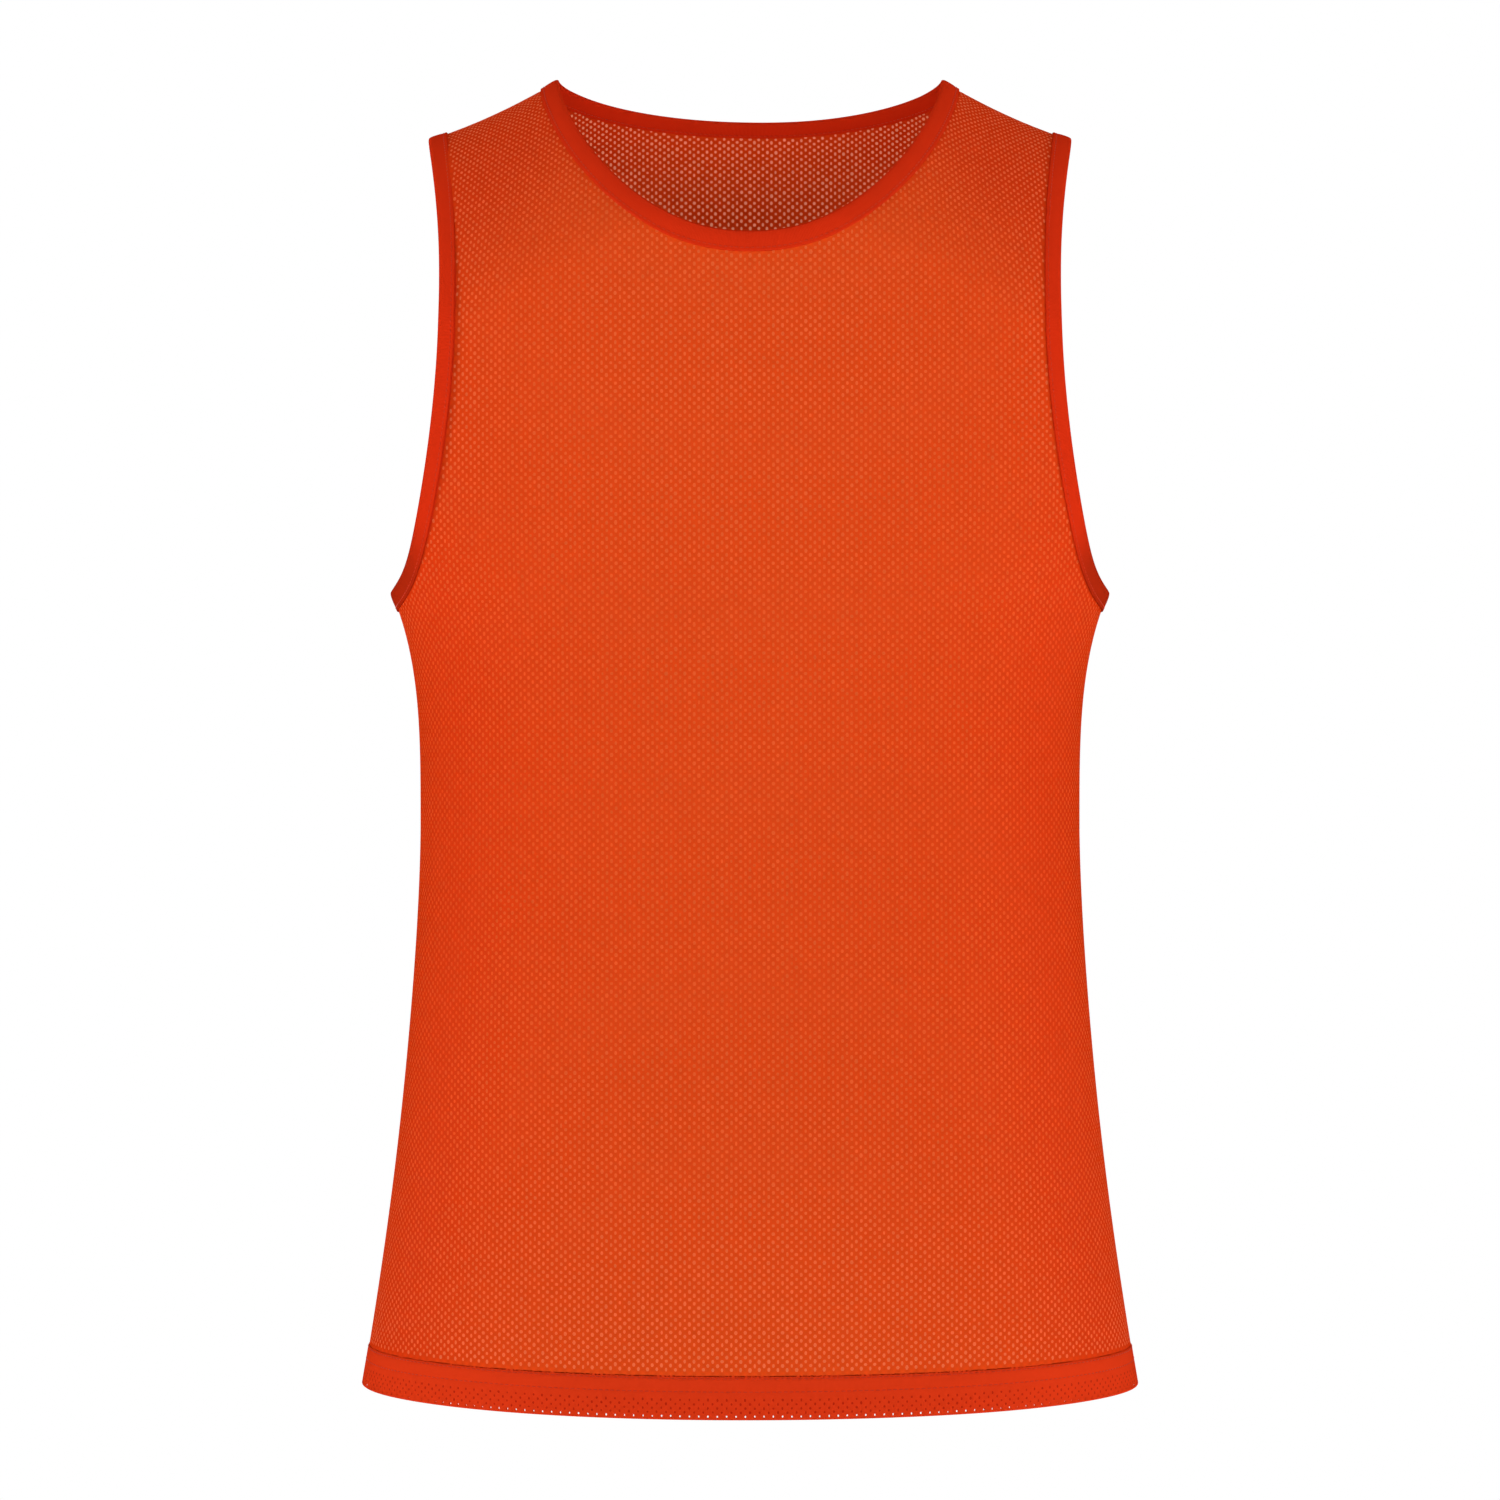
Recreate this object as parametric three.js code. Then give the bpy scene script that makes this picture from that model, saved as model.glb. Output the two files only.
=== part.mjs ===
// A sleeveless pull-over training vest in open mesh: two mesh panels, a bound neckline, two bound
// armholes, a turned-up hem, and the seams and stitching that hold them together.
// Millimetres, +Z up, X across the shoulders, the front towards -Y. The origin lies on the shoulder
// line, midway between the neck-side ends of the two shoulder seams.
import * as THREE from "three";

// Lengths down the body, each measured from the neck-side end of the shoulder seam
const bodyLength = 685;
const frontNeckDrop = 90;
const backNeckDrop = 12;
const shoulderTipDrop = 31;
const acrossChestDrop = 125;
const underarmDrop = 268;
const waistDrop = 390;

// Half-widths, from the centre line
const neckHalfWidth = 100;
const shoulderTipHalfWidth = 168;
const acrossChestHalfWidth = 158;
const underarmHalfWidth = 187;
const upperArmFlare = 16;
const waistHalfWidth = 172;
const hemHalfWidth = 202;

// Half-depths, from the shoulder line to the front or the back of the body
const chestHalfDepth = 116;
const waistHalfDepth = 108;
const hemHalfDepth = 120;

// How far below the shoulder line the cloth reaches the full depth of the chest
const shoulderRound = 110;
// How far the shoulder line would rise to the centre of the neck
const neckRise = 30;

// Cloth, tapes and thread
const clothThickness = 0.8;
const bindingWidth = 10.5;
const bindingThickness = 2.2;
const hemHeight = 22;
const hemThickness = 2.0;
const seamWidth = 6;
const seamThickness = 1.2;
const threadWidth = 0.7;
const threadThickness = 0.5;
const bindingStitchInset = 2;
const upperHemStitchInset = 1.5;
const hemStitchSpacing = 6.5;
const clearance = 0.4;
const seamClearance = 0.8;

// Shapes of the curves
const sectionRoundness = 2.4;
const shoulderRoundness = 1.6;
const flareReach = 38;
const underarmTaperPower = 3.4;
const skirtFlarePower = 1.6;
const necklineWidthPower = 2.2;
const necklineDropPower = 1.4;
const underarmCurl = 0.28;
const underarmCurlPower = 20;

// Number of steps along each edge
const necklineSteps = 9;
const shoulderSteps = 4;
const armholeSteps = 16;
const bodySteps = 10;
const bodyStepEasing = 1.5;

const front = -1;
const back = 1;
const centreAngle = Math.PI / 2;
const quarterTurn = Math.PI / 2;
const orange = 0xd8471b;
const bindingOrange = 0xcc3014;

// Height of the shoulder line at a distance x from the centre line
function shoulderHeight(x) {
  const across = Math.abs(x);
  if (across < neckHalfWidth) {
    return neckRise * (1 - (across / neckHalfWidth) ** 2);
  }
  const out = across - neckHalfWidth;
  const run = shoulderTipHalfWidth - neckHalfWidth;
  const startSlope = (2 * neckRise) / neckHalfWidth;
  const easing = (startSlope * run - shoulderTipDrop) / run ** 2;
  return -startSlope * out + easing * out ** 2;
}

// Half-width of the body's section at a height z
function halfWidth(z) {
  const drop = -z;
  if (drop < underarmDrop) {
    return underarmHalfWidth + upperArmFlare * (1 - Math.exp((drop - underarmDrop) / flareReach));
  }
  if (drop < waistDrop) {
    const above = (waistDrop - drop) / (waistDrop - underarmDrop);
    return waistHalfWidth + (underarmHalfWidth - waistHalfWidth) * above ** underarmTaperPower;
  }
  const below = (drop - waistDrop) / (bodyLength - waistDrop);
  return waistHalfWidth + (hemHalfWidth - waistHalfWidth) * below ** skirtFlarePower;
}

// Half-depth of the body's section at a height z
function halfDepth(z) {
  const drop = -z;
  if (drop < waistDrop) {
    const above = THREE.MathUtils.clamp((waistDrop - drop) / (waistDrop - acrossChestDrop), 0, 1);
    return THREE.MathUtils.lerp(waistHalfDepth, chestHalfDepth, above * above * (3 - 2 * above));
  }
  const below = (drop - waistDrop) / (bodyLength - waistDrop);
  return waistHalfDepth + (hemHalfDepth - waistHalfDepth) * below ** skirtFlarePower;
}

// Armhole edge: its distance from the centre line at a height z
function armholeHalfWidth(z) {
  const drop = THREE.MathUtils.clamp(-z, shoulderTipDrop, underarmDrop);
  if (drop < acrossChestDrop) {
    const above = (acrossChestDrop - drop) / (acrossChestDrop - shoulderTipDrop);
    return acrossChestHalfWidth + (shoulderTipHalfWidth - acrossChestHalfWidth) * above ** 2;
  }
  const below = (drop - acrossChestDrop) / (underarmDrop - acrossChestDrop);
  const curve = (1 - underarmCurl) * below ** 2 + underarmCurl * below ** underarmCurlPower;
  return acrossChestHalfWidth + (underarmHalfWidth - acrossChestHalfWidth) * curve;
}

const topHalfWidth = halfWidth(0);
const power = 2 / sectionRoundness;

// The garment is one surface: angle runs from one side seam (0) over the centre line to the other
// (pi), and fall runs from the shoulder line (0) down the front (negative) or the back (positive).
// Past a side seam it carries on round to the other side of the body.
function surfacePoint(angle, fall) {
  const across = Math.sign(Math.cos(angle)) * Math.abs(Math.cos(angle)) ** power;
  const deep = Math.sign(Math.sin(angle)) * Math.abs(Math.sin(angle)) ** power;
  const turned = Math.abs(fall);
  const curved = turned < quarterTurn;
  const lowered = curved
    ? 1 - Math.cos(turned) ** (2 / shoulderRoundness)
    : 1 + turned - quarterTurn;
  const outward = curved ? Math.sin(turned) ** (2 / shoulderRoundness) : 1;
  const z = shoulderHeight(across * topHalfWidth) - shoulderRound * lowered;
  const depth = halfDepth(z) * deep * outward;
  return new THREE.Vector3(across * halfWidth(z), Math.sign(fall) * depth, z);
}

// The angle whose point lies a distance x from the centre line at a height z
function angleAt(x, z) {
  const share = THREE.MathUtils.clamp(Math.abs(x) / halfWidth(z), 0, 1);
  const angle = Math.acos(share ** (1 / power));
  return x < 0 ? Math.PI - angle : angle;
}

// The fall that takes the surface down to a height z at an angle
function fallAt(side, angle, z) {
  const across = Math.abs(Math.cos(angle)) ** power;
  const lowered = (shoulderHeight(across * topHalfWidth) - z) / shoulderRound;
  if (lowered <= 0) {
    return 0;
  }
  if (lowered < 1) {
    return side * Math.acos((1 - lowered) ** (shoulderRoundness / 2));
  }
  return side * (quarterTurn + lowered - 1);
}

// The fall at which the surface stands a small depth off the shoulder line
function fallAtDepth(side, angle, depth) {
  const full = chestHalfDepth * Math.abs(Math.sin(angle)) ** power;
  return side * Math.asin((depth / full) ** (shoulderRoundness / 2));
}

// The angle at which the surface stands a small depth off the side seam
function angleAtDepth(z, depth) {
  return Math.asin((depth / halfDepth(z)) ** (1 / power));
}

// Outward unit normal, from the two directions in which the surface runs
function surfaceNormal(angle, fall) {
  const step = 1e-4;
  const alongAngle = surfacePoint(angle + step, fall).sub(surfacePoint(angle - step, fall));
  const alongFall = surfacePoint(angle, fall + step).sub(surfacePoint(angle, fall - step));
  return alongFall.cross(alongAngle).normalize();
}

// Moves a point that is near the surface onto it, starting from a close angle and fall
function settle(target, start) {
  const step = 1e-4;
  const rounds = 12;
  let { angle, fall } = start;
  for (let round = 0; round < rounds; round++) {
    const point = surfacePoint(angle, fall);
    const alongAngle = surfacePoint(angle + step, fall).sub(point).divideScalar(step);
    const alongFall = surfacePoint(angle, fall + step).sub(point).divideScalar(step);
    const miss = target.clone().sub(point);
    const aa = alongAngle.dot(alongAngle);
    const ff = alongFall.dot(alongFall);
    const af = alongAngle.dot(alongFall);
    const spread = aa * ff - af * af;
    const byAngle = miss.dot(alongAngle);
    const byFall = miss.dot(alongFall);
    angle += (byAngle * ff - byFall * af) / spread;
    fall += (byFall * aa - byAngle * af) / spread;
  }
  return { angle, fall };
}

// A thin closed solid about a grid of surface places {angle, fall}, lifted off the surface along
// its normals. The grid is rows of equal length, and ring joins its last row to its first.
function shell(rows, thickness, lift = 0, ring = false) {
  const across = rows[0].length;
  const corners = [];
  for (const height of [lift + thickness / 2, lift - thickness / 2]) {
    for (const row of rows) {
      for (const { angle, fall } of row) {
        corners.push(surfacePoint(angle, fall).addScaledVector(surfaceNormal(angle, fall), height));
      }
    }
  }
  const layer = rows.length * across;
  const at = (row, column, side) => (row % rows.length) * across + column + side * layer;
  const faces = [];
  const quad = (a, b, c, d) => faces.push(a, b, c, a, c, d);
  const lastRow = ring ? rows.length : rows.length - 1;
  for (let row = 0; row < lastRow; row++) {
    for (let column = 0; column < across - 1; column++) {
      quad(at(row, column, 0), at(row, column + 1, 0), at(row + 1, column + 1, 0), at(row + 1, column, 0));
      quad(at(row, column, 1), at(row + 1, column, 1), at(row + 1, column + 1, 1), at(row, column + 1, 1));
    }
    quad(at(row, 0, 0), at(row + 1, 0, 0), at(row + 1, 0, 1), at(row, 0, 1));
    const end = across - 1;
    quad(at(row, end, 0), at(row, end, 1), at(row + 1, end, 1), at(row + 1, end, 0));
  }
  if (!ring) {
    const end = rows.length - 1;
    for (let column = 0; column < across - 1; column++) {
      quad(at(0, column, 0), at(0, column, 1), at(0, column + 1, 1), at(0, column + 1, 0));
      quad(at(end, column, 0), at(end, column + 1, 0), at(end, column + 1, 1), at(end, column, 1));
    }
  }
  return facingOut(corners, faces);
}

// A geometry of these corners and triangles, with its faces turned to point outwards
function facingOut(corners, faces) {
  let volume = 0;
  for (let i = 0; i < faces.length; i += 3) {
    const [a, b, c] = faces.slice(i, i + 3).map((n) => corners[n]);
    volume += a.dot(b.clone().cross(c));
  }
  const ordered = volume < 0 ? faces.reverse() : faces;
  const geometry = new THREE.BufferGeometry().setFromPoints(corners);
  geometry.setIndex(ordered);
  geometry.computeVertexNormals();
  return geometry;
}

// Places spaced evenly along an edge that is given by a function of 0 to 1
function evenly(edge, steps) {
  const samples = 400;
  const places = Array.from({ length: samples + 1 }, (_, i) => edge(i / samples));
  const reached = [0];
  for (let i = 1; i <= samples; i++) {
    const from = surfacePoint(places[i - 1].angle, places[i - 1].fall);
    reached.push(reached[i - 1] + from.distanceTo(surfacePoint(places[i].angle, places[i].fall)));
  }
  const total = reached[samples];
  return Array.from({ length: steps + 1 }, (_, n) => {
    const i = Math.max(1, reached.findIndex((length) => length >= (total * n) / steps - 1e-9));
    const share = ((total * n) / steps - reached[i - 1]) / (reached[i] - reached[i - 1]);
    return edge((i - 1 + share) / samples);
  });
}

// The neckline from the centre (0) to the shoulder seam (1) of one side
function neckEdge(side) {
  const drop = side === front ? frontNeckDrop : backNeckDrop;
  return (share) => {
    const x = neckHalfWidth * Math.sin(share * quarterTurn);
    const inside = Math.max(0, 1 - (x / neckHalfWidth) ** necklineWidthPower);
    const z = -drop * inside ** (1 / necklineDropPower);
    const angle = angleAt(x, z);
    return { angle, fall: fallAt(side, angle, z) };
  };
}

// The armhole from the shoulder seam (0) to the underarm (1) of one side, on the right-hand half
function armholeEdge(side) {
  return (share) => {
    const z = -THREE.MathUtils.lerp(shoulderTipDrop, underarmDrop, Math.sin(share * quarterTurn));
    const angle = angleAt(armholeHalfWidth(z), z);
    return { angle, fall: fallAt(side, angle, z) };
  };
}

const mirrored = ({ angle, fall }) => ({ angle: Math.PI - angle, fall });

// One whole turn of places round the neck: front right, back right, back left, front left
function neckLoop() {
  const frontHalf = evenly(neckEdge(front), necklineSteps);
  const backHalf = evenly(neckEdge(back), necklineSteps).reverse();
  const right = [...frontHalf, ...backHalf.slice(1)];
  return [...right, ...right.slice(1, -1).reverse().map(mirrored)];
}

// One whole turn of places round the right-hand armhole, from the shoulder seam down the front
function armholeLoop() {
  const frontHalf = evenly(armholeEdge(front), armholeSteps);
  const backHalf = evenly(armholeEdge(back), armholeSteps).reverse();
  return [...frontHalf, ...backHalf.slice(1, -1)];
}

// The places a distance inside a closed edge, measured over the cloth. The edge runs with the cloth
// on its right-hand side, seen from outside.
function inset(loop, distance) {
  return loop.map((place, i) => {
    const before = loop[(i + loop.length - 1) % loop.length];
    const after = loop[(i + 1) % loop.length];
    const along = surfacePoint(after.angle, after.fall).sub(surfacePoint(before.angle, before.fall));
    const normal = surfaceNormal(place.angle, place.fall);
    const across = along.cross(normal).normalize().multiplyScalar(distance);
    return settle(surfacePoint(place.angle, place.fall).add(across), place);
  });
}

const neckPlaces = neckLoop();
const armholePlaces = armholeLoop();
const neckCloth = inset(neckPlaces, bindingWidth + clearance);
const armholeCloth = inset(armholePlaces, bindingWidth + clearance);

// A binding: a tape that follows a closed edge and covers it to its full width
function binding(loop) {
  const lines = [0, bindingWidth / 2, bindingWidth].map((distance) => inset(loop, distance));
  const rows = loop.map((_, i) => lines.map((line) => line[i]));
  return shell(rows, bindingThickness, 0, true);
}

// A line of stitching that lies on top of a tape, along its inner edge
function bindingStitching(loop) {
  const outer = bindingWidth - bindingStitchInset;
  const lines = [outer, outer + threadWidth].map((distance) => inset(loop, distance));
  const rows = loop.map((_, i) => lines.map((line) => line[i]));
  return shell(rows, threadThickness, (bindingThickness + threadThickness) / 2 + clearance, true);
}

// The cloth's edge along the bound armhole of one side, from the shoulder seam to the underarm
function armholeSide(side) {
  const places = side === front
    ? armholeCloth.slice(0, armholeSteps + 1)
    : [armholeCloth[0], ...armholeCloth.slice(armholeSteps).reverse()];
  return places.map(({ angle, fall }) => ({ angle, fall, z: surfacePoint(angle, fall).z }));
}

// The cloth's side edge on the right-hand half: the angle at a height, along the bound armhole
// above the underarm and along the side seam below it
function sideAngle(side) {
  const edge = armholeSide(side);
  return (z) => {
    const seam = angleAtDepth(z, clearance / 2);
    const next = edge.findIndex((corner) => corner.z < z);
    if (next === 0) {
      return edge[0].angle;
    }
    if (next < 0) {
      return seam;
    }
    const { angle, z: above } = edge[next - 1];
    const share = (above - z) / (above - edge[next].z);
    return Math.max(seam, THREE.MathUtils.lerp(angle, edge[next].angle, share));
  };
}

const underarmClothHeight = armholeSide(front)[armholeSteps].z;
const hemTop = hemHeight - bodyLength;

// The heights of the rows in which the body hangs from the underarm to the hem
const bodyHeights = Array.from({ length: bodySteps + 1 }, (_, step) => {
  const share = (step / bodySteps) ** bodyStepEasing;
  return THREE.MathUtils.lerp(underarmClothHeight, hemTop + clearance, share);
});

// The shares of the half-width at which a panel's columns run, and the place each one starts from
function panelTops(side) {
  const neck = side === front
    ? neckCloth.slice(0, necklineSteps + 1)
    : neckCloth.slice(necklineSteps, 2 * necklineSteps + 1).reverse();
  const ridgeStart = neck[necklineSteps].angle;
  const ridgeEnd = armholeCloth[0].angle;
  const ridge = Array.from({ length: shoulderSteps + 1 }, (_, i) => {
    const angle = THREE.MathUtils.lerp(ridgeStart, ridgeEnd, i / shoulderSteps);
    return { angle, fall: fallAtDepth(side, angle, clearance / 2) };
  });
  const edgeAngle = sideAngle(side);
  return [...neck.slice(0, -1), ...ridge].map((place) => {
    const { z } = surfacePoint(place.angle, place.fall);
    const share = (centreAngle - place.angle) / (centreAngle - edgeAngle(z));
    return { ...place, share: Math.min(1, share) };
  });
}

// The place on a panel's column at a height
function columnPlace(side, share, z, edgeAngle) {
  const angle = THREE.MathUtils.lerp(centreAngle, edgeAngle(z), share);
  return { angle, fall: fallAt(side, angle, z) };
}

// One column of a panel, from its top edge down to the hem. Its upper rows keep step with the
// armhole, so that the last column is the armhole's own edge.
function panelColumn(side, top) {
  const edgeAngle = sideAngle(side);
  const armhole = armholeSide(side);
  const topHeight = surfacePoint(top.angle, top.fall).z;
  const yoke = armhole.slice(1, armholeSteps).map((place) => {
    const share = (armhole[0].z - place.z) / (armhole[0].z - underarmClothHeight);
    const z = THREE.MathUtils.lerp(topHeight, underarmClothHeight, share);
    return top.share === 1 ? place : columnPlace(side, top.share, z, edgeAngle);
  });
  const body = bodyHeights.map((z) => columnPlace(side, top.share, z, edgeAngle));
  return [top, ...yoke, ...body];
}

// The right-hand columns of a sheet, and their mirror images on the left
function bothHalves(columns) {
  const left = columns.slice(1).reverse().map((column) => column.map(mirrored));
  return [...left, ...columns];
}

// A mesh panel, from the neckline and the shoulder seam to the hem
function panel(side) {
  const columns = panelTops(side).map((top) => panelColumn(side, top));
  return shell(bothHalves(columns), clothThickness);
}

// The turned-up hem of one side, in the same columns as its panel
function hem(side) {
  const edgeAngle = sideAngle(side);
  const columns = panelTops(side).map(({ share }) =>
    [hemTop, -bodyLength].map((z) => columnPlace(side, share, z, edgeAngle)),
  );
  return shell(bothHalves(columns), hemThickness);
}

// A line of stitching that runs round the whole hem at a height
function hemStitching(z) {
  const sides = [front, back].map((side) => {
    const edgeAngle = sideAngle(side);
    const columns = panelTops(side).map(({ share }) =>
      [z, z - threadWidth].map((height) => columnPlace(side, share, height, edgeAngle)),
    );
    return bothHalves(columns);
  });
  const rows = [...sides[0], ...sides[1].reverse()];
  return shell(rows, threadThickness, (hemThickness + threadThickness) / 2 + clearance, true);
}

const seamLift = -((clothThickness + seamThickness) / 2 + seamClearance);

// The seam allowance inside a side seam, straddling the seam
function sideSeam() {
  const rows = bodyHeights.map((z) => {
    const angle = angleAtDepth(z, seamWidth / 2);
    return [front, back].map((side) => ({ angle, fall: fallAt(side, angle, z) }));
  });
  return shell(rows, seamThickness, seamLift);
}

// The seam allowance inside a shoulder seam, straddling the seam
function shoulderSeam() {
  const start = neckCloth[necklineSteps].angle;
  const end = armholeCloth[0].angle;
  const rows = Array.from({ length: shoulderSteps + 1 }, (_, i) => {
    const angle = THREE.MathUtils.lerp(start, end, i / shoulderSteps);
    return [front, back].map((side) => ({ angle, fall: fallAtDepth(side, angle, seamWidth / 2) }));
  });
  return shell(rows, seamThickness, seamLift);
}

function clothMaterial(color, roughness) {
  return new THREE.MeshStandardMaterial({ color, roughness, metalness: 0, side: THREE.DoubleSide });
}

const vest = new THREE.Group();

function add(name, geometry, color, roughness) {
  const mesh = new THREE.Mesh(geometry, clothMaterial(color, roughness));
  mesh.name = name;
  vest.add(mesh);
}

// The same piece on the wearer's other side: a mirror image, with its faces turned back out
function addPair(name, geometry, color, roughness) {
  const other = geometry.clone().scale(-1, 1, 1);
  other.setIndex([...other.index.array].reverse());
  other.computeVertexNormals();
  add(`right_${name}`, geometry, color, roughness);
  add(`left_${name}`, other, color, roughness);
}

const meshRoughness = 0.85;
const tapeRoughness = 0.8;
const threadRoughness = 0.6;

add("front_panel", panel(front), orange, meshRoughness);
add("back_panel", panel(back), orange, meshRoughness);
add("front_hem", hem(front), orange, meshRoughness);
add("back_hem", hem(back), orange, meshRoughness);
add("neck_binding", binding(neckPlaces), bindingOrange, tapeRoughness);
add("neck_binding_stitching", bindingStitching(neckPlaces), bindingOrange, threadRoughness);
addPair("armhole_binding", binding(armholePlaces), bindingOrange, tapeRoughness);
addPair(
  "armhole_stitching",
  bindingStitching(armholePlaces),
  bindingOrange,
  threadRoughness,
);
addPair("side_seam", sideSeam(), orange, tapeRoughness);
addPair("shoulder_seam", shoulderSeam(), orange, tapeRoughness);
const upperHemStitch = hemTop - upperHemStitchInset;
add("hem_stitching_upper", hemStitching(upperHemStitch), bindingOrange, threadRoughness);
add("hem_stitching_lower", hemStitching(upperHemStitch - hemStitchSpacing), bindingOrange, threadRoughness);

export default vest;
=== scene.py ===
import math

import bpy
import numpy as np
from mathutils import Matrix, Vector
from mathutils.geometry import delaunay_2d_cdt


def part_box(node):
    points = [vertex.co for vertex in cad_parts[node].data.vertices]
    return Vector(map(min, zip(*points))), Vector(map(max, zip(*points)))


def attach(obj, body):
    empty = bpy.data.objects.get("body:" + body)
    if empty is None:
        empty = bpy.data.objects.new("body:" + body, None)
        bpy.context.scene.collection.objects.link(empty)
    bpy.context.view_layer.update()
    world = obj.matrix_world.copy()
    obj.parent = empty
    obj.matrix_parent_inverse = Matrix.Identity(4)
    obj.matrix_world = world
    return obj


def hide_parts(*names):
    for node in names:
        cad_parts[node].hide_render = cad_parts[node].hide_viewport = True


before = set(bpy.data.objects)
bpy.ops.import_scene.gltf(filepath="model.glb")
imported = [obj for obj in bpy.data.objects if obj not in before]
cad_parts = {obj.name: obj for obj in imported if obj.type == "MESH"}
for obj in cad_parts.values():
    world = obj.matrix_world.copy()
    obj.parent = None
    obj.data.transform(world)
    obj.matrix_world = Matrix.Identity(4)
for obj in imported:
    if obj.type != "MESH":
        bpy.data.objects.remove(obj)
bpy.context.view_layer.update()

# ---------------------------------------------------------------- sizes: the length and the hem from the imported frame, the rest given

hem_low, hem_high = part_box("front_hem")
MM = 0.001

BODY_LENGTH = round(-hem_low.z, 3)
HEM_THICKNESS = 2 * MM
HEM_HEIGHT = round(hem_high.z - hem_low.z, 3)
HEM_HALF_WIDTH = round(hem_high.x - HEM_THICKNESS / 2, 3)
HEM_HALF_DEPTH = round(-hem_low.y - HEM_THICKNESS / 2, 3)
FRONT_NECK_DROP = 90 * MM
BACK_NECK_DROP = 12 * MM
SHOULDER_TIP_DROP = 31 * MM
ACROSS_CHEST_DROP = 125 * MM
UNDERARM_DROP = 268 * MM
WAIST_DROP = 390 * MM

NECK_HALF_WIDTH = 100 * MM
SHOULDER_TIP_HALF_WIDTH = 168 * MM
ACROSS_CHEST_HALF_WIDTH = 158 * MM
UNDERARM_HALF_WIDTH = 187 * MM
UPPER_ARM_FLARE = 16 * MM
WAIST_HALF_WIDTH = 172 * MM
CHEST_HALF_DEPTH = 116 * MM
WAIST_HALF_DEPTH = 108 * MM
SHOULDER_ROUND = 110 * MM
NECK_RISE = 30 * MM
FLARE_REACH = 38 * MM
BINDING_WIDTH = 10.5 * MM

SECTION_ROUNDNESS = 2.4
SHOULDER_ROUNDNESS = 1.6
UNDERARM_TAPER_POWER = 3.4
SKIRT_FLARE_POWER = 1.6
NECKLINE_WIDTH_POWER = 2.2
NECKLINE_DROP_POWER = 1.4
UNDERARM_CURL = 0.28
UNDERARM_CURL_POWER = 20

FRONT, BACK = -1, 1
QUARTER = math.pi / 2
POWER = 2 / SECTION_ROUNDNESS

# ---------------------------------------------------------------- the cloth's surface


def shoulder_height(x):
    across = np.abs(x)
    out = across - NECK_HALF_WIDTH
    run = SHOULDER_TIP_HALF_WIDTH - NECK_HALF_WIDTH
    slope = 2 * NECK_RISE / NECK_HALF_WIDTH
    easing = (slope * run - SHOULDER_TIP_DROP) / run**2
    inside = NECK_RISE * (1 - (across / NECK_HALF_WIDTH) ** 2)
    return np.where(out < 0, inside, -slope * out + easing * out**2)


def skirt_share(drop):
    return np.clip((drop - WAIST_DROP) / (BODY_LENGTH - WAIST_DROP), 0, 2) ** SKIRT_FLARE_POWER


def half_width(z):
    drop = -z
    upper = UNDERARM_HALF_WIDTH + UPPER_ARM_FLARE * (
        1 - np.exp(np.minimum(drop - UNDERARM_DROP, 0) / FLARE_REACH)
    )
    above = np.clip((WAIST_DROP - drop) / (WAIST_DROP - UNDERARM_DROP), 0, 1)
    middle = WAIST_HALF_WIDTH + (UNDERARM_HALF_WIDTH - WAIST_HALF_WIDTH) * above**UNDERARM_TAPER_POWER
    lower = WAIST_HALF_WIDTH + (HEM_HALF_WIDTH - WAIST_HALF_WIDTH) * skirt_share(drop)
    return np.where(drop < UNDERARM_DROP, upper, np.where(drop < WAIST_DROP, middle, lower))


def half_depth(z):
    drop = -z
    above = np.clip((WAIST_DROP - drop) / (WAIST_DROP - ACROSS_CHEST_DROP), 0, 1)
    upper = WAIST_HALF_DEPTH + (CHEST_HALF_DEPTH - WAIST_HALF_DEPTH) * above**2 * (3 - 2 * above)
    lower = WAIST_HALF_DEPTH + (HEM_HALF_DEPTH - WAIST_HALF_DEPTH) * skirt_share(drop)
    return np.where(drop < WAIST_DROP, upper, lower)


def armhole_half_width(z):
    drop = np.clip(-z, SHOULDER_TIP_DROP, UNDERARM_DROP)
    above = np.clip((ACROSS_CHEST_DROP - drop) / (ACROSS_CHEST_DROP - SHOULDER_TIP_DROP), 0, 1)
    below = np.clip((drop - ACROSS_CHEST_DROP) / (UNDERARM_DROP - ACROSS_CHEST_DROP), 0, 1)
    curve = (1 - UNDERARM_CURL) * below**2 + UNDERARM_CURL * below**UNDERARM_CURL_POWER
    return (
        ACROSS_CHEST_HALF_WIDTH
        + (SHOULDER_TIP_HALF_WIDTH - ACROSS_CHEST_HALF_WIDTH) * above**2
        + (UNDERARM_HALF_WIDTH - ACROSS_CHEST_HALF_WIDTH) * curve
    )


TOP_HALF_WIDTH = float(half_width(np.array(0.0)))


def signed_power(value):
    return np.sign(value) * np.abs(value) ** POWER


def surface(angle, fall):
    """Points of the garment. angle runs from one side seam (0) over the centre line to the other (pi), and
    fall from the shoulder line (0) down the front (negative) or the back (positive)."""
    angle, fall = np.broadcast_arrays(np.asarray(angle, float), np.asarray(fall, float))
    across, deep = signed_power(np.cos(angle)), signed_power(np.sin(angle))
    turned = np.abs(fall)
    bend = np.clip(turned, 0, QUARTER)
    lowered = 1 - np.cos(bend) ** (2 / SHOULDER_ROUNDNESS) + np.maximum(turned - QUARTER, 0)
    outward = np.sin(bend) ** (2 / SHOULDER_ROUNDNESS)
    z = shoulder_height(across * TOP_HALF_WIDTH) - SHOULDER_ROUND * lowered
    return np.stack([across * half_width(z), np.sign(fall) * half_depth(z) * deep * outward, z], -1)


SMALL_TURN = 1e-4


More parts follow.
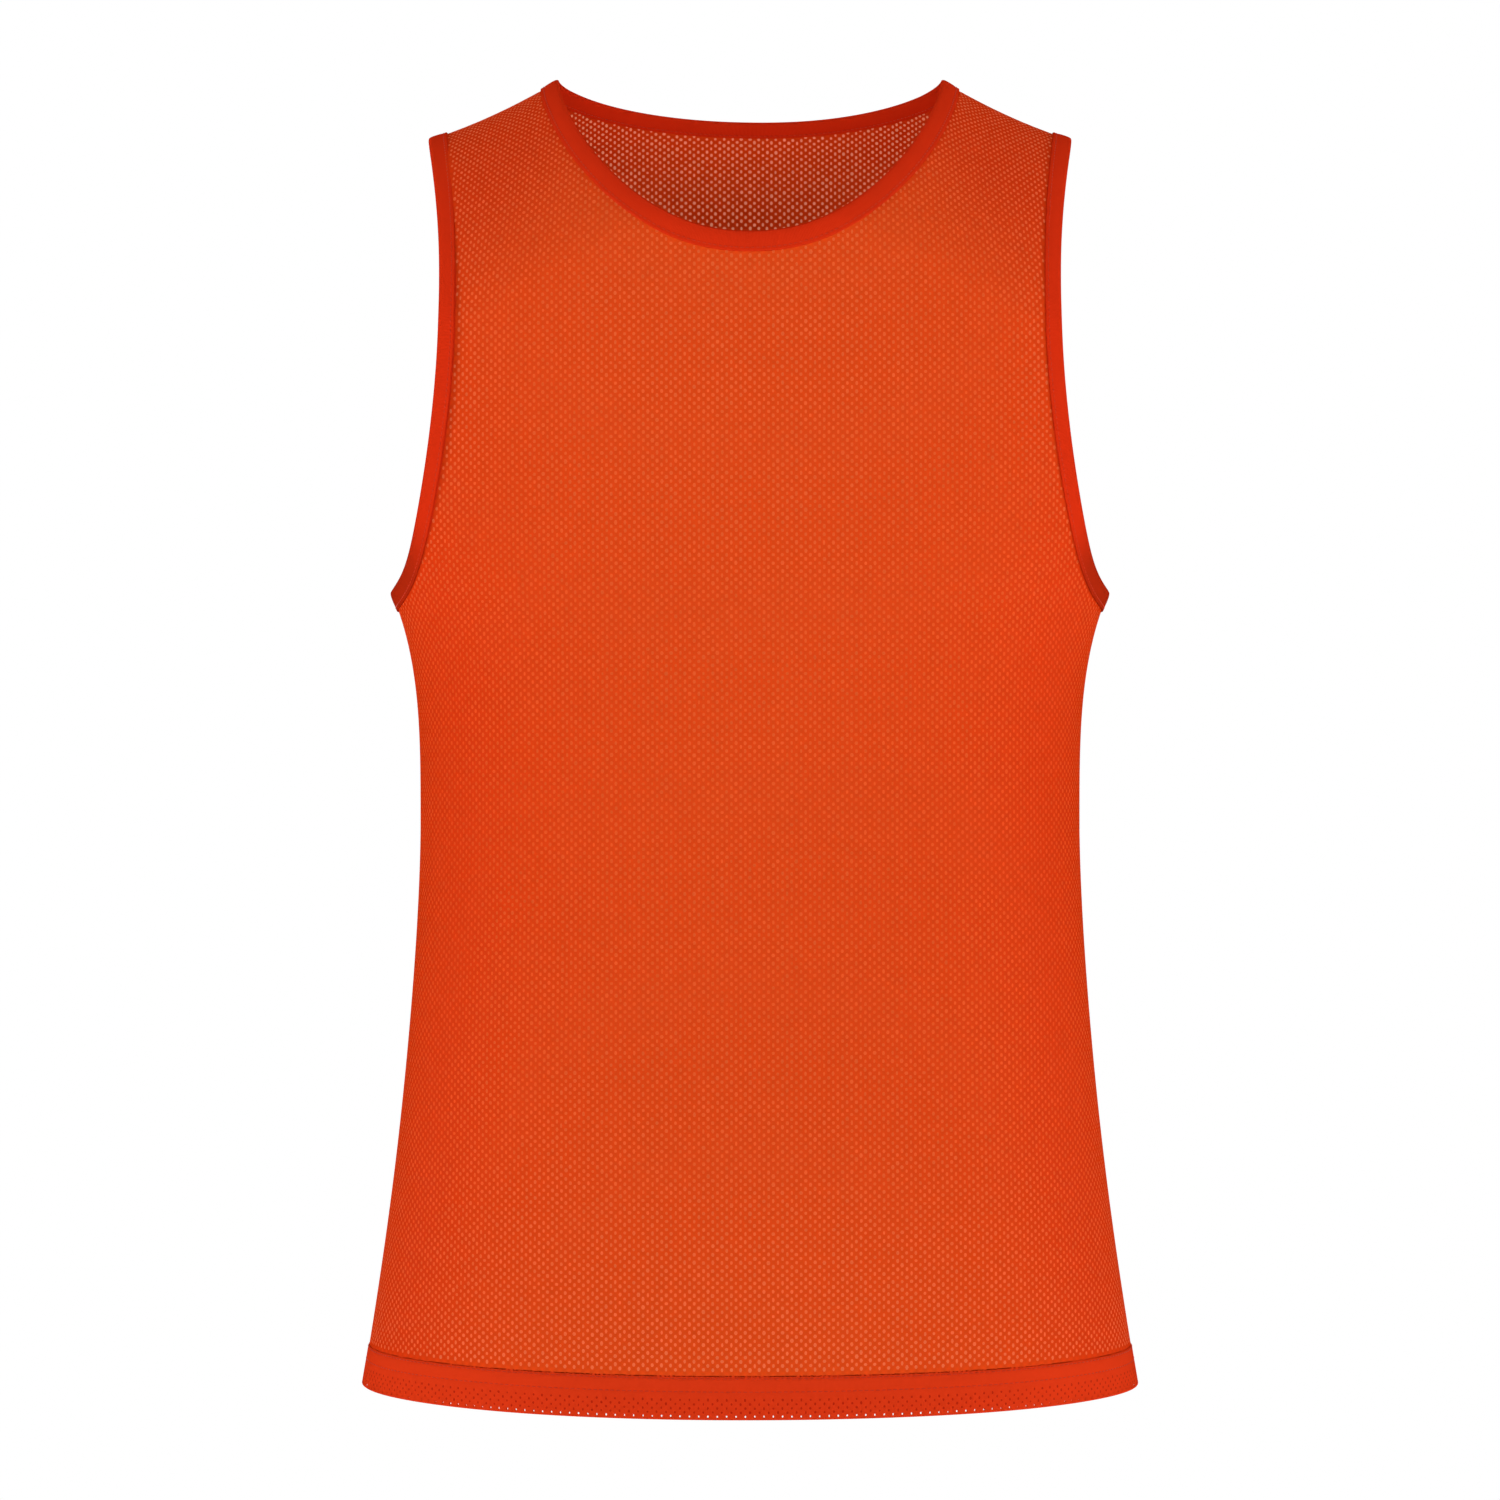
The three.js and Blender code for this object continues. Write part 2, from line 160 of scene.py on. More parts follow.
def normal(angle, fall):
    along_angle = surface(angle + SMALL_TURN, fall) - surface(angle - SMALL_TURN, fall)
    along_fall = surface(angle, fall + SMALL_TURN) - surface(angle, fall - SMALL_TURN)
    out = np.cross(along_fall, along_angle)
    return out / np.linalg.norm(out, axis=-1, keepdims=True)


def angle_at(x, z):
    share = np.clip(np.abs(x) / half_width(z), 0, 1)
    angle = np.arccos(share ** (1 / POWER))
    return np.where(x < 0, math.pi - angle, angle)


def fall_at(side, angle, z):
    across = np.abs(np.cos(angle)) ** POWER
    lowered = (shoulder_height(across * TOP_HALF_WIDTH) - z) / SHOULDER_ROUND
    curved = np.arccos(np.clip(1 - lowered, 0, 1) ** (SHOULDER_ROUNDNESS / 2))
    return side * np.where(lowered < 1, np.where(lowered <= 0, 0, curved), QUARTER + lowered - 1)


# ---------------------------------------------------------------- how the cloth hangs off that surface

SIDE_LIFT = 5.4 * MM
DRAPE = (
    # amplitude, waves along x and z per metre, phase, weight towards the hem
    (0.55 * MM, 34.0, 5.0, 0.7, 0.2),
    (0.50 * MM, -21.0, 13.0, 2.1, 0.0),
    (0.45 * MM, 52.0, -7.0, 4.4, 0.9),
    (0.35 * MM, 17.0, 31.0, 5.3, 0.0),
)


def hang(points, normals, lift):
    """Lifts points off the surface and adds the soft waves in which the cloth hangs."""
    x, y, z = points[..., 0], points[..., 1], points[..., 2]
    down = np.clip(-z / BODY_LENGTH, 0, 1)
    wave = np.zeros_like(x)
    for size, across, along, phase, hem in DRAPE:
        reach = (1 - hem) + hem * down**2
        turn = across * (x + 0.35 * y) + along * z + phase
        wave += size * reach * np.sin(turn + 1.3 * np.sin(9 * z + phase) + np.sign(y) * phase)
    wave *= np.clip(np.abs(y) / (30 * MM), 0, 1) ** 2
    moved = points + normals * (lift + wave)[..., None]
    near_hem = np.clip((-z - 0.7 * BODY_LENGTH) / (0.3 * BODY_LENGTH), 0, 1) ** 2
    moved[..., 2] += SIDE_LIFT * near_hem * (x / HEM_HALF_WIDTH) ** 2
    return moved


def place(angle, fall, lift):
    points, normals = surface(angle, fall), normal(angle, fall)
    return hang(points, normals, np.broadcast_to(lift, points.shape[:-1]))


# ---------------------------------------------------------------- flat coordinates on each side

# u is the distance over the cloth from the centre line, and v the distance down it: minus z below
# LEVEL, and measured up the cloth from there to the shoulder line above it.
LEVEL = 0.15
U_STEP, V_STEP = 0.5 * MM, 1.0 * MM
PAST_SEAM = 0.02  # the tables run this angle past the side seam
RISE_STEPS, ANGLE_STEPS, PATH_STEPS = 160, 420, 120


def rise_table(side, angles):
    """For each angle, falls from LEVEL up to the shoulder line, and the distance risen at each."""
    start = fall_at(side, angles, -LEVEL)
    share = np.linspace(0, 1, RISE_STEPS)
    falls = start[:, None] * (1 - share[None])
    points = surface(angles[:, None], falls)
    steps = np.linalg.norm(np.diff(points, axis=1), axis=-1)
    return falls, np.concatenate([np.zeros((len(angles), 1)), np.cumsum(steps, 1)], 1)


class Flat:
    """The flat pattern of one side: its coordinates (u, v) and the places on the garment they stand for."""

    def __init__(self, side):
        self.side = side
        share = np.linspace(0, 1, ANGLE_STEPS)
        self.angles = QUARTER * (1 - share) - PAST_SEAM * share
        falls, risen = rise_table(side, self.angles)
        highest = risen[:, -1].max()
        self.v = np.arange(LEVEL - highest - 2 * MM, BODY_LENGTH + 4 * MM, V_STEP)
        fall = np.empty((len(self.v), len(self.angles)))
        low = self.v >= LEVEL
        fall[low] = fall_at(side, self.angles[None], -self.v[low][:, None])
        for j in range(len(self.angles)):
            fall[~low, j] = np.interp(LEVEL - self.v[~low], risen[j], falls[j])
        points = surface(self.angles[None], fall)
        steps = np.linalg.norm(np.diff(points, axis=1), axis=-1)
        self.reach = np.concatenate([np.zeros((len(self.v), 1)), np.cumsum(steps, 1)], 1)
        self.u = np.arange(0, self.reach.max() + U_STEP, U_STEP)
        self.angle_of = np.stack([np.interp(self.u, row, self.angles) for row in self.reach])
        self.fall_of = np.stack([np.interp(self.u, row, f) for row, f in zip(self.reach, fall)])

    def grid(self, table, row, column):
        row = np.clip(row, 0, table.shape[0] - 1.001)
        column = np.clip(column, 0, table.shape[1] - 1.001)
        i, j = row.astype(int), column.astype(int)
        a, b = row - i, column - j
        return (
            table[i, j] * (1 - a) * (1 - b)
            + table[i + 1, j] * a * (1 - b)
            + table[i, j + 1] * (1 - a) * b
            + table[i + 1, j + 1] * a * b
        )

    def column(self, angle):
        """Column of the tables by angle."""
        return (QUARTER - angle) / (QUARTER + PAST_SEAM) * (len(self.angles) - 1)

    def side_reach(self, v):
        """Distance over the cloth from the centre line to the side seam."""
        return self.grid(self.reach, (v - self.v[0]) / V_STEP, np.full(len(v), self.column(0.0)))

    def to_place(self, u, v):
        """(angle, fall) of flat points."""
        row, column = (v - self.v[0]) / V_STEP, np.abs(u) / U_STEP
        angle = self.grid(self.angle_of, row, column)
        return np.where(u < 0, math.pi - angle, angle), self.grid(self.fall_of, row, column)

    def to_flat(self, angle, fall):
        """(u, v) of places on the right-hand half."""
        z = surface(angle, fall)[..., 2]
        start = fall_at(self.side, angle, -LEVEL)
        share = np.linspace(0, 1, PATH_STEPS)
        path = start[:, None] + (fall - start)[:, None] * share[None]
        points = surface(angle[:, None], path)
        risen = np.linalg.norm(np.diff(points, axis=1), axis=-1).sum(1)
        v = np.where(z > -LEVEL, LEVEL - risen, -z)
        column = np.clip(self.column(angle), 0, len(self.angles) - 1)
        return self.grid(self.reach, (v - self.v[0]) / V_STEP, column), v


flats = {FRONT: Flat(FRONT), BACK: Flat(BACK)}

# ---------------------------------------------------------------- edges


def neck_edge(side, share):
    drop = FRONT_NECK_DROP if side == FRONT else BACK_NECK_DROP
    x = NECK_HALF_WIDTH * np.sin(share * QUARTER)
    inside = np.maximum(0, 1 - (x / NECK_HALF_WIDTH) ** NECKLINE_WIDTH_POWER)
    z = -drop * inside ** (1 / NECKLINE_DROP_POWER)
    angle = angle_at(x, z)
    return angle, fall_at(side, angle, z)


def armhole_edge(side, share):
    z = -(SHOULDER_TIP_DROP + (UNDERARM_DROP - SHOULDER_TIP_DROP) * np.sin(share * QUARTER))
    angle = angle_at(armhole_half_width(z), z)
    return angle, fall_at(side, angle, z)


def distances(line):
    """The distance along a line of points to each of them."""
    return np.concatenate([[0], np.cumsum(np.linalg.norm(np.diff(line, axis=0), axis=-1))])


def between(line, reached, where):
    """Points of a line at given distances along it."""
    return np.stack([np.interp(where, reached, line[:, i]) for i in range(line.shape[1])], -1)


EDGE_SAMPLES = 6001


def evenly(edge, side, steps):
    """Places spaced evenly along an edge, as an array of (angle, fall)."""
    share = np.linspace(0, 1, EDGE_SAMPLES)
    angle, fall = edge(side, share)
    reached = distances(surface(angle, fall))
    at = np.interp(np.linspace(0, reached[-1], steps + 1), reached, share)
    return np.stack(edge(side, at), -1)


def mirrored(places):
    return np.stack([math.pi - places[:, 0], places[:, 1]], -1)


def neck_loop(steps):
    right = np.concatenate([evenly(neck_edge, FRONT, steps), evenly(neck_edge, BACK, steps)[::-1][1:]])
    return np.concatenate([right, mirrored(right[1:-1][::-1])])


def armhole_loop(steps):
    back = evenly(armhole_edge, BACK, steps)[::-1]
    return np.concatenate([evenly(armhole_edge, FRONT, steps), back[1:-1]])


SETTLE_ROUNDS = 14


def settle(target, places):
    """Moves places until their points lie nearest to the targets."""
    step = SMALL_TURN
    angle, fall = places[:, 0].copy(), places[:, 1].copy()
    for _ in range(SETTLE_ROUNDS):
        point = surface(angle, fall)
        along_angle = (surface(angle + step, fall) - point) / step
        along_fall = (surface(angle, fall + step) - point) / step
        miss = target - point
        aa, ff, af = (np.sum(a * b, -1) for a, b in (
            (along_angle, along_angle), (along_fall, along_fall), (along_angle, along_fall)))
        spread = aa * ff - af * af
        by_angle, by_fall = np.sum(miss * along_angle, -1), np.sum(miss * along_fall, -1)
        angle = angle + (by_angle * ff - by_fall * af) / spread
        fall = fall + (by_fall * aa - by_angle * af) / spread
    return np.stack([angle, fall], -1)


def inset(loop, distance):
    """The places a distance inside a closed edge, measured over the cloth."""
    along = surface(*np.roll(loop, -1, 0).T) - surface(*np.roll(loop, 1, 0).T)
    across = np.cross(along, normal(*loop.T))
    across /= np.linalg.norm(across, axis=-1, keepdims=True)
    return settle(surface(*loop.T) + across * distance, loop)


# ---------------------------------------------------------------- meshes


def add_piece(name, points, faces, flat=None, material_of=None):
    mesh = bpy.data.meshes.new(name)
    mesh.from_pydata([tuple(p) for p in np.asarray(points).tolist()], [], faces)
    if flat is not None:
        layer = mesh.attributes.new("flat", "FLOAT_VECTOR", "POINT")
        data = np.zeros((len(flat), 3), np.float32)
        data[:, : flat.shape[1]] = flat
        layer.data.foreach_set("vector", data.ravel())
    mesh.polygons.foreach_set("use_smooth", [True] * len(mesh.polygons))
    if material_of is not None:
        mesh.polygons.foreach_set("material_index", material_of)
    mesh.update()
    piece = bpy.data.objects.new(name, mesh)
    bpy.context.scene.collection.objects.link(piece)
    return piece


def inside_polygon(points, polygon):
    x, y = points[:, 0], points[:, 1]
    inside = np.zeros(len(points), bool)
    for (x0, y0), (x1, y1) in zip(polygon, np.roll(polygon, -1, 0)):
        if y0 == y1:
            continue
        crosses = (y0 > y) != (y1 > y)
        inside ^= crosses & (x < (x1 - x0) * (y - y0) / (y1 - y0) + x0)
    return inside


def distance_to_polygon(points, polygon):
    nearest = np.full(len(points), 1e9)
    for a, b in zip(polygon, np.roll(polygon, -1, 0)):
        along = b - a
        share = np.clip(((points - a) @ along) / max(along @ along, 1e-18), 0, 1)
        gap = points - a - share[:, None] * along
        nearest = np.minimum(nearest, np.einsum("ij,ij->i", gap, gap))
    return np.sqrt(nearest)


HOLE_ACROSS, HOLE_DOWN = 4.66 * MM, 4.1 * MM
HOLE_WIDTH, HOLE_HEIGHT = 1.6 * MM, 2.1 * MM
HOLE_SIDES = 6
HOLE_MARGIN, EXTRA_MARGIN = 1.0 * MM, 0.4 * MM
HOLE_UNEVENNESS, HOLE_SHIFT = 0.12, 0.06 * MM


def hole_centres(low, high):
    """Centres of the staggered holes of the mesh, on a lattice that is centred on the centre line."""
    columns = np.arange(math.floor(2 * low[0] / HOLE_ACROSS), math.ceil(2 * high[0] / HOLE_ACROSS) + 1)
    rows = np.arange(math.floor(low[1] / HOLE_DOWN) - 1, math.ceil(high[1] / HOLE_DOWN) + 1)
    c, r = np.meshgrid(columns, rows)
    return np.stack([c * HOLE_ACROSS / 2, (r + (c % 2) / 2) * HOLE_DOWN], -1).reshape(-1, 2)


WINDOW_DEPTH = 0.2 * MM


def mesh_sheet(outline, hole_outline, seed, filled_from=0.0, size=None, start_row=0.0, extra=None):
    """Flat points and triangles of a sheet of mesh cloth, with a six-sided hole at each lattice point. A hole
    at least the given distance from start_row is filled by a sunk window, a sheet whose material paints the
    light or the shade seen through an open hole. size scales the holes by their distance down, none is left
    where it is 0, and extra holds more points for the cloth. Returns the flat points, the triangles, which of
    them are windows, and which points are window centres."""
    random = np.random.default_rng(seed)
    shift_down = np.array([0, start_row % HOLE_DOWN])
    centres = hole_centres(hole_outline.min(0) - shift_down, hole_outline.max(0)) + shift_down
    centres = centres[inside_polygon(centres, hole_outline)]
    if size is not None:
        centres = centres[size(centres[:, 1]) > 0]
    centres = centres[distance_to_polygon(centres, hole_outline) > HOLE_MARGIN]
    count = len(centres)
    turn = (np.arange(HOLE_SIDES) + 0.5) * 2 * math.pi / HOLE_SIDES + math.pi / 2
    ring = np.stack([HOLE_WIDTH / 2 * np.cos(turn), HOLE_HEIGHT / 2 * np.sin(turn)], -1)
    scale = 1 + HOLE_UNEVENNESS * random.standard_normal((count, 1, 2)).clip(-2, 2)
    if size is not None:
        scale *= size(centres[:, 1])[:, None, None]
    shift = HOLE_SHIFT * random.standard_normal((count, 1, 2)).clip(-2, 2)
    holes = (centres[:, None] + shift + ring[None] * scale).reshape(-1, 2)
    first = np.repeat(np.arange(count) * HOLE_SIDES, HOLE_SIDES)
    step = np.tile(np.arange(HOLE_SIDES), count)
    edges = np.stack([first + step, first + (step + 1) % HOLE_SIDES], -1)
    start, around = len(holes), np.arange(len(outline))
    rim = np.stack([start + around, start + (around + 1) % len(outline)], -1)
    middles = holes.reshape(count, HOLE_SIDES, 2).mean(1)
    extra = np.zeros((0, 2)) if extra is None else extra
    points = np.concatenate([holes, outline, extra, middles])
    found = delaunay_2d_cdt(
        [Vector(p) for p in points.tolist()],
        [tuple(e) for e in np.concatenate([edges, rim]).tolist()], [], 0, 1e-7, False)
    triangles = np.array(found[2])
    flat = np.array([tuple(p) for p in found[0]])
    triangles = triangles[inside_polygon(flat[triangles].mean(1), outline)]
    middle = np.arange(len(flat)) >= start + len(outline) + len(extra)
    window = middle[triangles].any(1)
    kept = ~window | (np.abs(flat[triangles.max(1), 1] - start_row) >= filled_from)
    triangles, window = triangles[kept], window[kept]
    used = np.zeros(len(flat), bool)
    used[triangles] = True
    renumber = np.cumsum(used) - 1
    return flat[used], renumber[triangles], window, middle[used]


def facing_out(triangles, points):
    """The triangles turned so that their faces point away from the body's axis."""
    a, b, c = (points[triangles[:, i]] for i in range(3))
    centre = (a + b + c) / 3
    out = np.cross(b - a, c - a)
    # away from the upright axis, mostly to the front or back, and upwards as well at the shoulders
    axis = np.stack([centre[:, 0] * 0.6, centre[:, 1], np.where(centre[:, 2] > -0.08, 0.06, 0)], -1)
    flip = np.sum(out * axis, -1) < 0
    turned = triangles.copy()
    turned[flip] = triangles[flip][:, ::-1]
    return turned


CLOTH_INSET = 1.4 * MM
SEAM_DIP, SEAM_REACH = 0.9 * MM, 1.6 * MM
SEAM_START = 5 * MM  # the side seam starts this far above the underarm
HEM_TOP = BODY_LENGTH - HEM_HEIGHT
EDGE_SPACING, BASE_SPACING = 1.6 * MM, 2.5 * MM
RIDGE_STEPS, SIDE_STEPS = 60, 260


def polyline(points, spacing):
    """The same line with points spaced evenly."""
    reached = distances(points)
    count = max(2, int(round(reached[-1] / spacing)) + 1)
    return between(points, reached, np.linspace(0, reached[-1], count))


NECK_STEPS, ARMHOLE_STEPS = 90, 130
AT_RIDGE, NEAR_RIDGE = 1e-6, 0.3  # falls: just off the shoulder line, and close to it
neck_places, armhole_places = neck_loop(NECK_STEPS), armhole_loop(ARMHOLE_STEPS)


def on_side(side, fall):
    """Falls of one side: past the shoulder line they stop there, and past the side seam they turn back."""
    near_shoulder = np.abs(fall) < NEAR_RIDGE
    return np.where(near_shoulder, side * np.maximum(side * fall, 0), side * np.abs(fall))


def side_outline(side, edge_inset, bottom):
    """The right-hand outline of a panel in flat coordinates, from the neck's centre to the hem's centre."""
    flat = flats[side]
    neck = inset(neck_places, edge_inset)
    arm = inset(armhole_places, edge_inset)
    if side == FRONT:
        neck = neck[: NECK_STEPS + 1]
        arm = arm[: ARMHOLE_STEPS + 1]
    else:
        neck = neck[NECK_STEPS : 2 * NECK_STEPS + 1][::-1]
        arm = np.concatenate([arm[:1], arm[ARMHOLE_STEPS:][::-1]])
    neck[:, 0], arm[:, 0] = np.minimum(neck[:, 0], QUARTER), np.maximum(arm[:, 0], 0)
    neck[:, 1], arm[:, 1] = on_side(side, neck[:, 1]), on_side(side, arm[:, 1])
    ridge_angle = np.linspace(neck[-1, 0], arm[0, 0], RIDGE_STEPS)
    ridge = np.stack([ridge_angle, np.full(RIDGE_STEPS, side * AT_RIDGE)], -1)
    seam_v = np.linspace(-surface(*arm[-1])[2], bottom, SIDE_STEPS)
    parts = [np.stack(flat.to_flat(p[:, 0], p[:, 1]), -1) for p in (neck, ridge[1:-1], arm)]
    parts.append(np.stack([flat.side_reach(seam_v), seam_v], -1)[1:])
    return polyline(np.concatenate(parts), EDGE_SPACING)


def both_halves(right, bottom):
    """A closed outline from its right-hand half, which starts and ends on the centre line."""
    base = polyline(np.array([right[-1], [0, bottom]]), BASE_SPACING)[1:]
    half = np.concatenate([right, base])
    left = half[1:-1][::-1] * [-1, 1]
    half[0, 0] = half[-1, 0] = 0
    return np.concatenate([half, left])


def seam_dip(side, u, v):
    """How far the cloth sinks beside the side seam and the shoulder seam."""
    flat = flats[side]
    to_side = np.maximum(flat.side_reach(v) - np.abs(u), 0)
    angle, fall = flat.to_place(u, v)
    to_shoulder = np.linalg.norm(surface(angle, fall) - surface(angle, side * AT_RIDGE), axis=-1)
    on_body = v > UNDERARM_DROP - SEAM_START
    dip = np.where(on_body, np.exp(-((to_side / SEAM_REACH) ** 2)), 0)
    dip = dip + np.where(v < LEVEL, np.exp(-((to_shoulder / SEAM_REACH) ** 2)), 0)
    return -SEAM_DIP * dip


flat_sizes = {}


def measure_flat(name, outline):
    """Keeps the width, length and area of a flat piece of cloth."""
    x, y = outline.T
    width, length = np.ptp(outline, 0)
    area = abs(np.sum(x * np.roll(y, -1) - y * np.roll(x, -1))) / 2
    flat_sizes[name] = (round(float(width), 3), round(float(length), 3)), round(float(area), 4)


HOLES_UNDER_TAPE = 0.6 * MM  # the holes start this far under the tape
PANEL_SEED, HEM_SEED = 11, 31


def make_panel(name, side):
    outline = both_halves(side_outline(side, CLOTH_INSET, HEM_TOP), HEM_TOP)
    measure_flat(name, outline)
    holes = both_halves(side_outline(side, BINDING_WIDTH - HOLES_UNDER_TAPE, HEM_TOP), HEM_TOP)
    flat, triangles, window, middle = mesh_sheet(outline, holes, PANEL_SEED + side)
    angle, fall = flats[side].to_place(flat[:, 0], flat[:, 1])
    points = place(angle, fall, seam_dip(side, flat[:, 0], flat[:, 1]) - WINDOW_DEPTH * middle)
    triangles = facing_out(triangles, points)
    return add_piece(name, points, triangles.tolist(), flat, window.astype(np.int32))


FOLD_RADIUS = 0.5 * MM
HEM_STITCH_INSET = 1.5 * MM
HEM_STITCH_SPACING = 6.5 * MM
HEM_STITCHED_MARGIN = 2.2 * MM
HEM_CLOSED, HEM_SEE_THROUGH = 1.2 * MM, 1.5 * MM
OUTER_HOLE_SCALE, INNER_HOLE_SCALE = 0.66, 0.5
HEM_COLUMN = 1.3 * MM
HEM_EASE = 2.0 * MM  # the outer layer rises off the panel over this length
HEM_GROOVE, HEM_GROOVE_REACH = 0.2 * MM, 0.8 * MM
HEM_PRESSED, HEM_DIP_SHARE = 0.6, 0.5  # how flat the hem is pressed at the side seam, and its dip there
HEM_EDGE_STEPS = 60
FOLD_ROWS = np.linspace(-0.45, 1.45, 14)  # rows of points round the fold, as shares of it
# Rows of points down from the hem's top, and across each groove of the stitches, in millimetres
EASE_ROWS = (0.6, 1.2, 1.8, 2.4)
GROOVE_ROWS = (-1.1, -0.7, -0.35, 0, 0.35, 0.7, 1.1)
STITCH_ROWS = (HEM_STITCH_INSET, HEM_STITCH_INSET + HEM_STITCH_SPACING)


def hem_rows_of_points():
    """Distances down from the hem's top at which its cloth needs points, for the ease and the grooves."""
    rows = list(EASE_ROWS)
    for row in STITCH_ROWS:
        rows += [row / MM + offset for offset in GROOVE_ROWS]
    return np.unique(np.round(np.array(rows), 2)) * MM


def make_hem(name, side):
    """The hem as one strip of mesh cloth that runs down the outside, round the fold and up the inside."""
    flat_side = flats[side]
    straight = HEM_HEIGHT - FOLD_RADIUS
    around = math.pi * FOLD_RADIUS
    total = 2 * straight + around

    def fold(w):
        turn = np.clip((w - straight) / FOLD_RADIUS, 0, math.pi)
        v = np.where(w < straight, HEM_TOP + w, np.where(
            w > straight + around, HEM_TOP + straight - (w - straight - around),
            HEM_TOP + straight + FOLD_RADIUS * np.sin(turn)))
        lift = FOLD_RADIUS * np.cos(turn)
        ease = np.clip(w / HEM_EASE, 0, 1)
        lift = np.where(w < straight, lift * ease**2 * (3 - 2 * ease), lift)
        for row in STITCH_ROWS:
            for at in (row, total - row):
                lift = lift - np.sign(lift) * HEM_GROOVE * np.exp(-(((w - at) / HEM_GROOVE_REACH) ** 2))
        return v, lift

    w = np.linspace(0, total, HEM_EDGE_STEPS)
    v, _ = fold(w)
    u = flat_side.side_reach(v)
    edge = polyline(np.stack([u, w], -1), EDGE_SPACING)
    top = polyline(np.array([[0, 0], edge[0]]), BASE_SPACING)[:-1]
    outline = both_halves(np.concatenate([top, edge]), total)
    measure_flat(name, outline)
    stitched = STITCH_ROWS[1] + HEM_STITCHED_MARGIN
    rows = hem_rows_of_points()
    around_fold = straight + around * FOLD_ROWS
    rows = np.concatenate([rows, total - rows, around_fold])
    columns = np.arange(-u.max(), u.max(), HEM_COLUMN)
    extra = np.stack(np.meshgrid(columns, rows), -1).reshape(-1, 2)
    extra = extra[inside_polygon(extra, outline)]
    extra = extra[distance_to_polygon(extra, outline) > EXTRA_MARGIN]

    def hole_size(w):
        """Holes of the hem: in the outer cloth below the stitches, and in the inner cloth near the fold."""
        lowest = straight - HEM_CLOSED
        outer = (w > stitched) & (w < lowest)
        inner = (total - w > lowest - HEM_SEE_THROUGH) & (total - w < lowest)
        return np.where(outer, OUTER_HOLE_SCALE, np.where(inner, INNER_HOLE_SCALE, 0))

    # Both layers are open near the fold, and further up the outer holes are filled by dark windows with
    # painted shade of the inner cloth behind
    open_within = around / 2 + HEM_CLOSED + HEM_SEE_THROUGH
    flat, triangles, window, middle = mesh_sheet(
        outline, outline, HEM_SEED + side, open_within, hole_size, total / 2, extra)
    v, lift = fold(flat[:, 1])
    angle, fall = flat_side.to_place(flat[:, 0], v)
    to_side = np.maximum(flat_side.side_reach(v) - np.abs(flat[:, 0]), 0)
    near = np.exp(-((to_side / SEAM_REACH) ** 2))
    lifted = lift * (1 - HEM_PRESSED * near) - HEM_DIP_SHARE * SEAM_DIP * near
    points = place(angle, fall, lifted - WINDOW_DEPTH * middle)
    a, b, c = (points[triangles[:, i]] for i in range(3))
    out = np.cross(b - a, c - a)
    facing = normal(angle, fall)[triangles[:, 0]]
    outer = lift[triangles[:, 0]] > 0
    flip = (np.sum(out * facing, -1) < 0) == outer
    triangles[flip] = triangles[flip][:, ::-1]
    return add_piece(name, points, triangles.tolist(), flat + [0, HEM_TOP], window.astype(np.int32))


# Section of a folded binding tape: (distance from the edge, height off the cloth), in millimetres
TAPE_SECTION = (
    (10.5, 0.45), (10.2, 0.88), (9.4, 0.98), (8.5, 0.78), (7.4, 1.02), (5.5, 1.15), (3.4, 1.18), (1.6, 1.06),
    (0.5, 0.72), (0.0, 0.0), (0.5, -0.72), (1.6, -1.02), (3.4, -1.10), (5.5, -1.08), (7.4, -0.98),
    (8.5, -0.78), (9.4, -0.92), (10.2, -0.84), (10.5, -0.42), (10.0, -0.30), (8.5, -0.28), (5.5, -0.42),
    (2.2, -0.36), (1.1, 0.0), (2.2, 0.36), (5.5, 0.42), (8.5, 0.28), (10.0, 0.30),
)


def strip_faces(rings, sides, closed=False):
    """Faces of a strip of rings of points, closed into a loop or with a cap at each end."""
    faces = []
    for i in range(rings if closed else rings - 1):
        j = (i + 1) % rings
        for k in range(sides):
            m = (k + 1) % sides
            faces.append((i * sides + k, i * sides + m, j * sides + m, j * sides + k))
    if not closed:
        faces.append(tuple(range(sides - 1, -1, -1)))
        faces.append(tuple((rings - 1) * sides + k for k in range(sides)))
    return faces


def along_first(lines):
    """Points of section lines, section by section along their length."""
    return np.asarray(lines).transpose(1, 0, 2).reshape(-1, np.shape(lines)[2])


def joined(parts):
    """The points and faces of several meshes as one."""
    faces, count = [], 0
    for points, own in parts:
        faces += [tuple(i + count for i in face) for face in own]
        count += len(points)
    return np.concatenate([points for points, _ in parts]), faces


def fix_winding(piece):
    """Turns a closed mesh's faces outwards."""
    mesh = piece.data
    mesh.calc_loop_triangles()
    tri = np.empty(len(mesh.loop_triangles) * 3, np.int32)
    mesh.loop_triangles.foreach_get("vertices", tri)
    co = np.empty(len(mesh.vertices) * 3, np.float32)
    mesh.vertices.foreach_get("co", co)
    a, b, c = co.reshape(-1, 3)[tri].reshape(-1, 3, 3).transpose(1, 0, 2).astype(float)
    if np.einsum("ij,ij->i", a, np.cross(b, c)).sum() < 0:
        mesh.flip_normals()
    return piece


def make_binding(name, loop, mirror=False):
    """The tape folded over an edge. mirror makes the one of the other side."""
    lines, flat = [], []
    reached = distances(surface(*loop.T))
    cache = {}
    for distance, height in TAPE_SECTION:
        if distance not in cache:
            cache[distance] = inset(loop, distance * MM)
        places = cache[distance]
        lines.append(place(places[:, 0], places[:, 1], height * MM))
        side = distance if height > 0 else -distance
        flat.append(np.stack([reached, np.full(len(loop), side * MM)], -1))
    lines = np.array(lines)
    if mirror:
        lines[..., 0] *= -1
    faces = strip_faces(len(loop), len(TAPE_SECTION), closed=True)
    return fix_winding(add_piece(name, along_first(lines), faces, along_first(flat)))


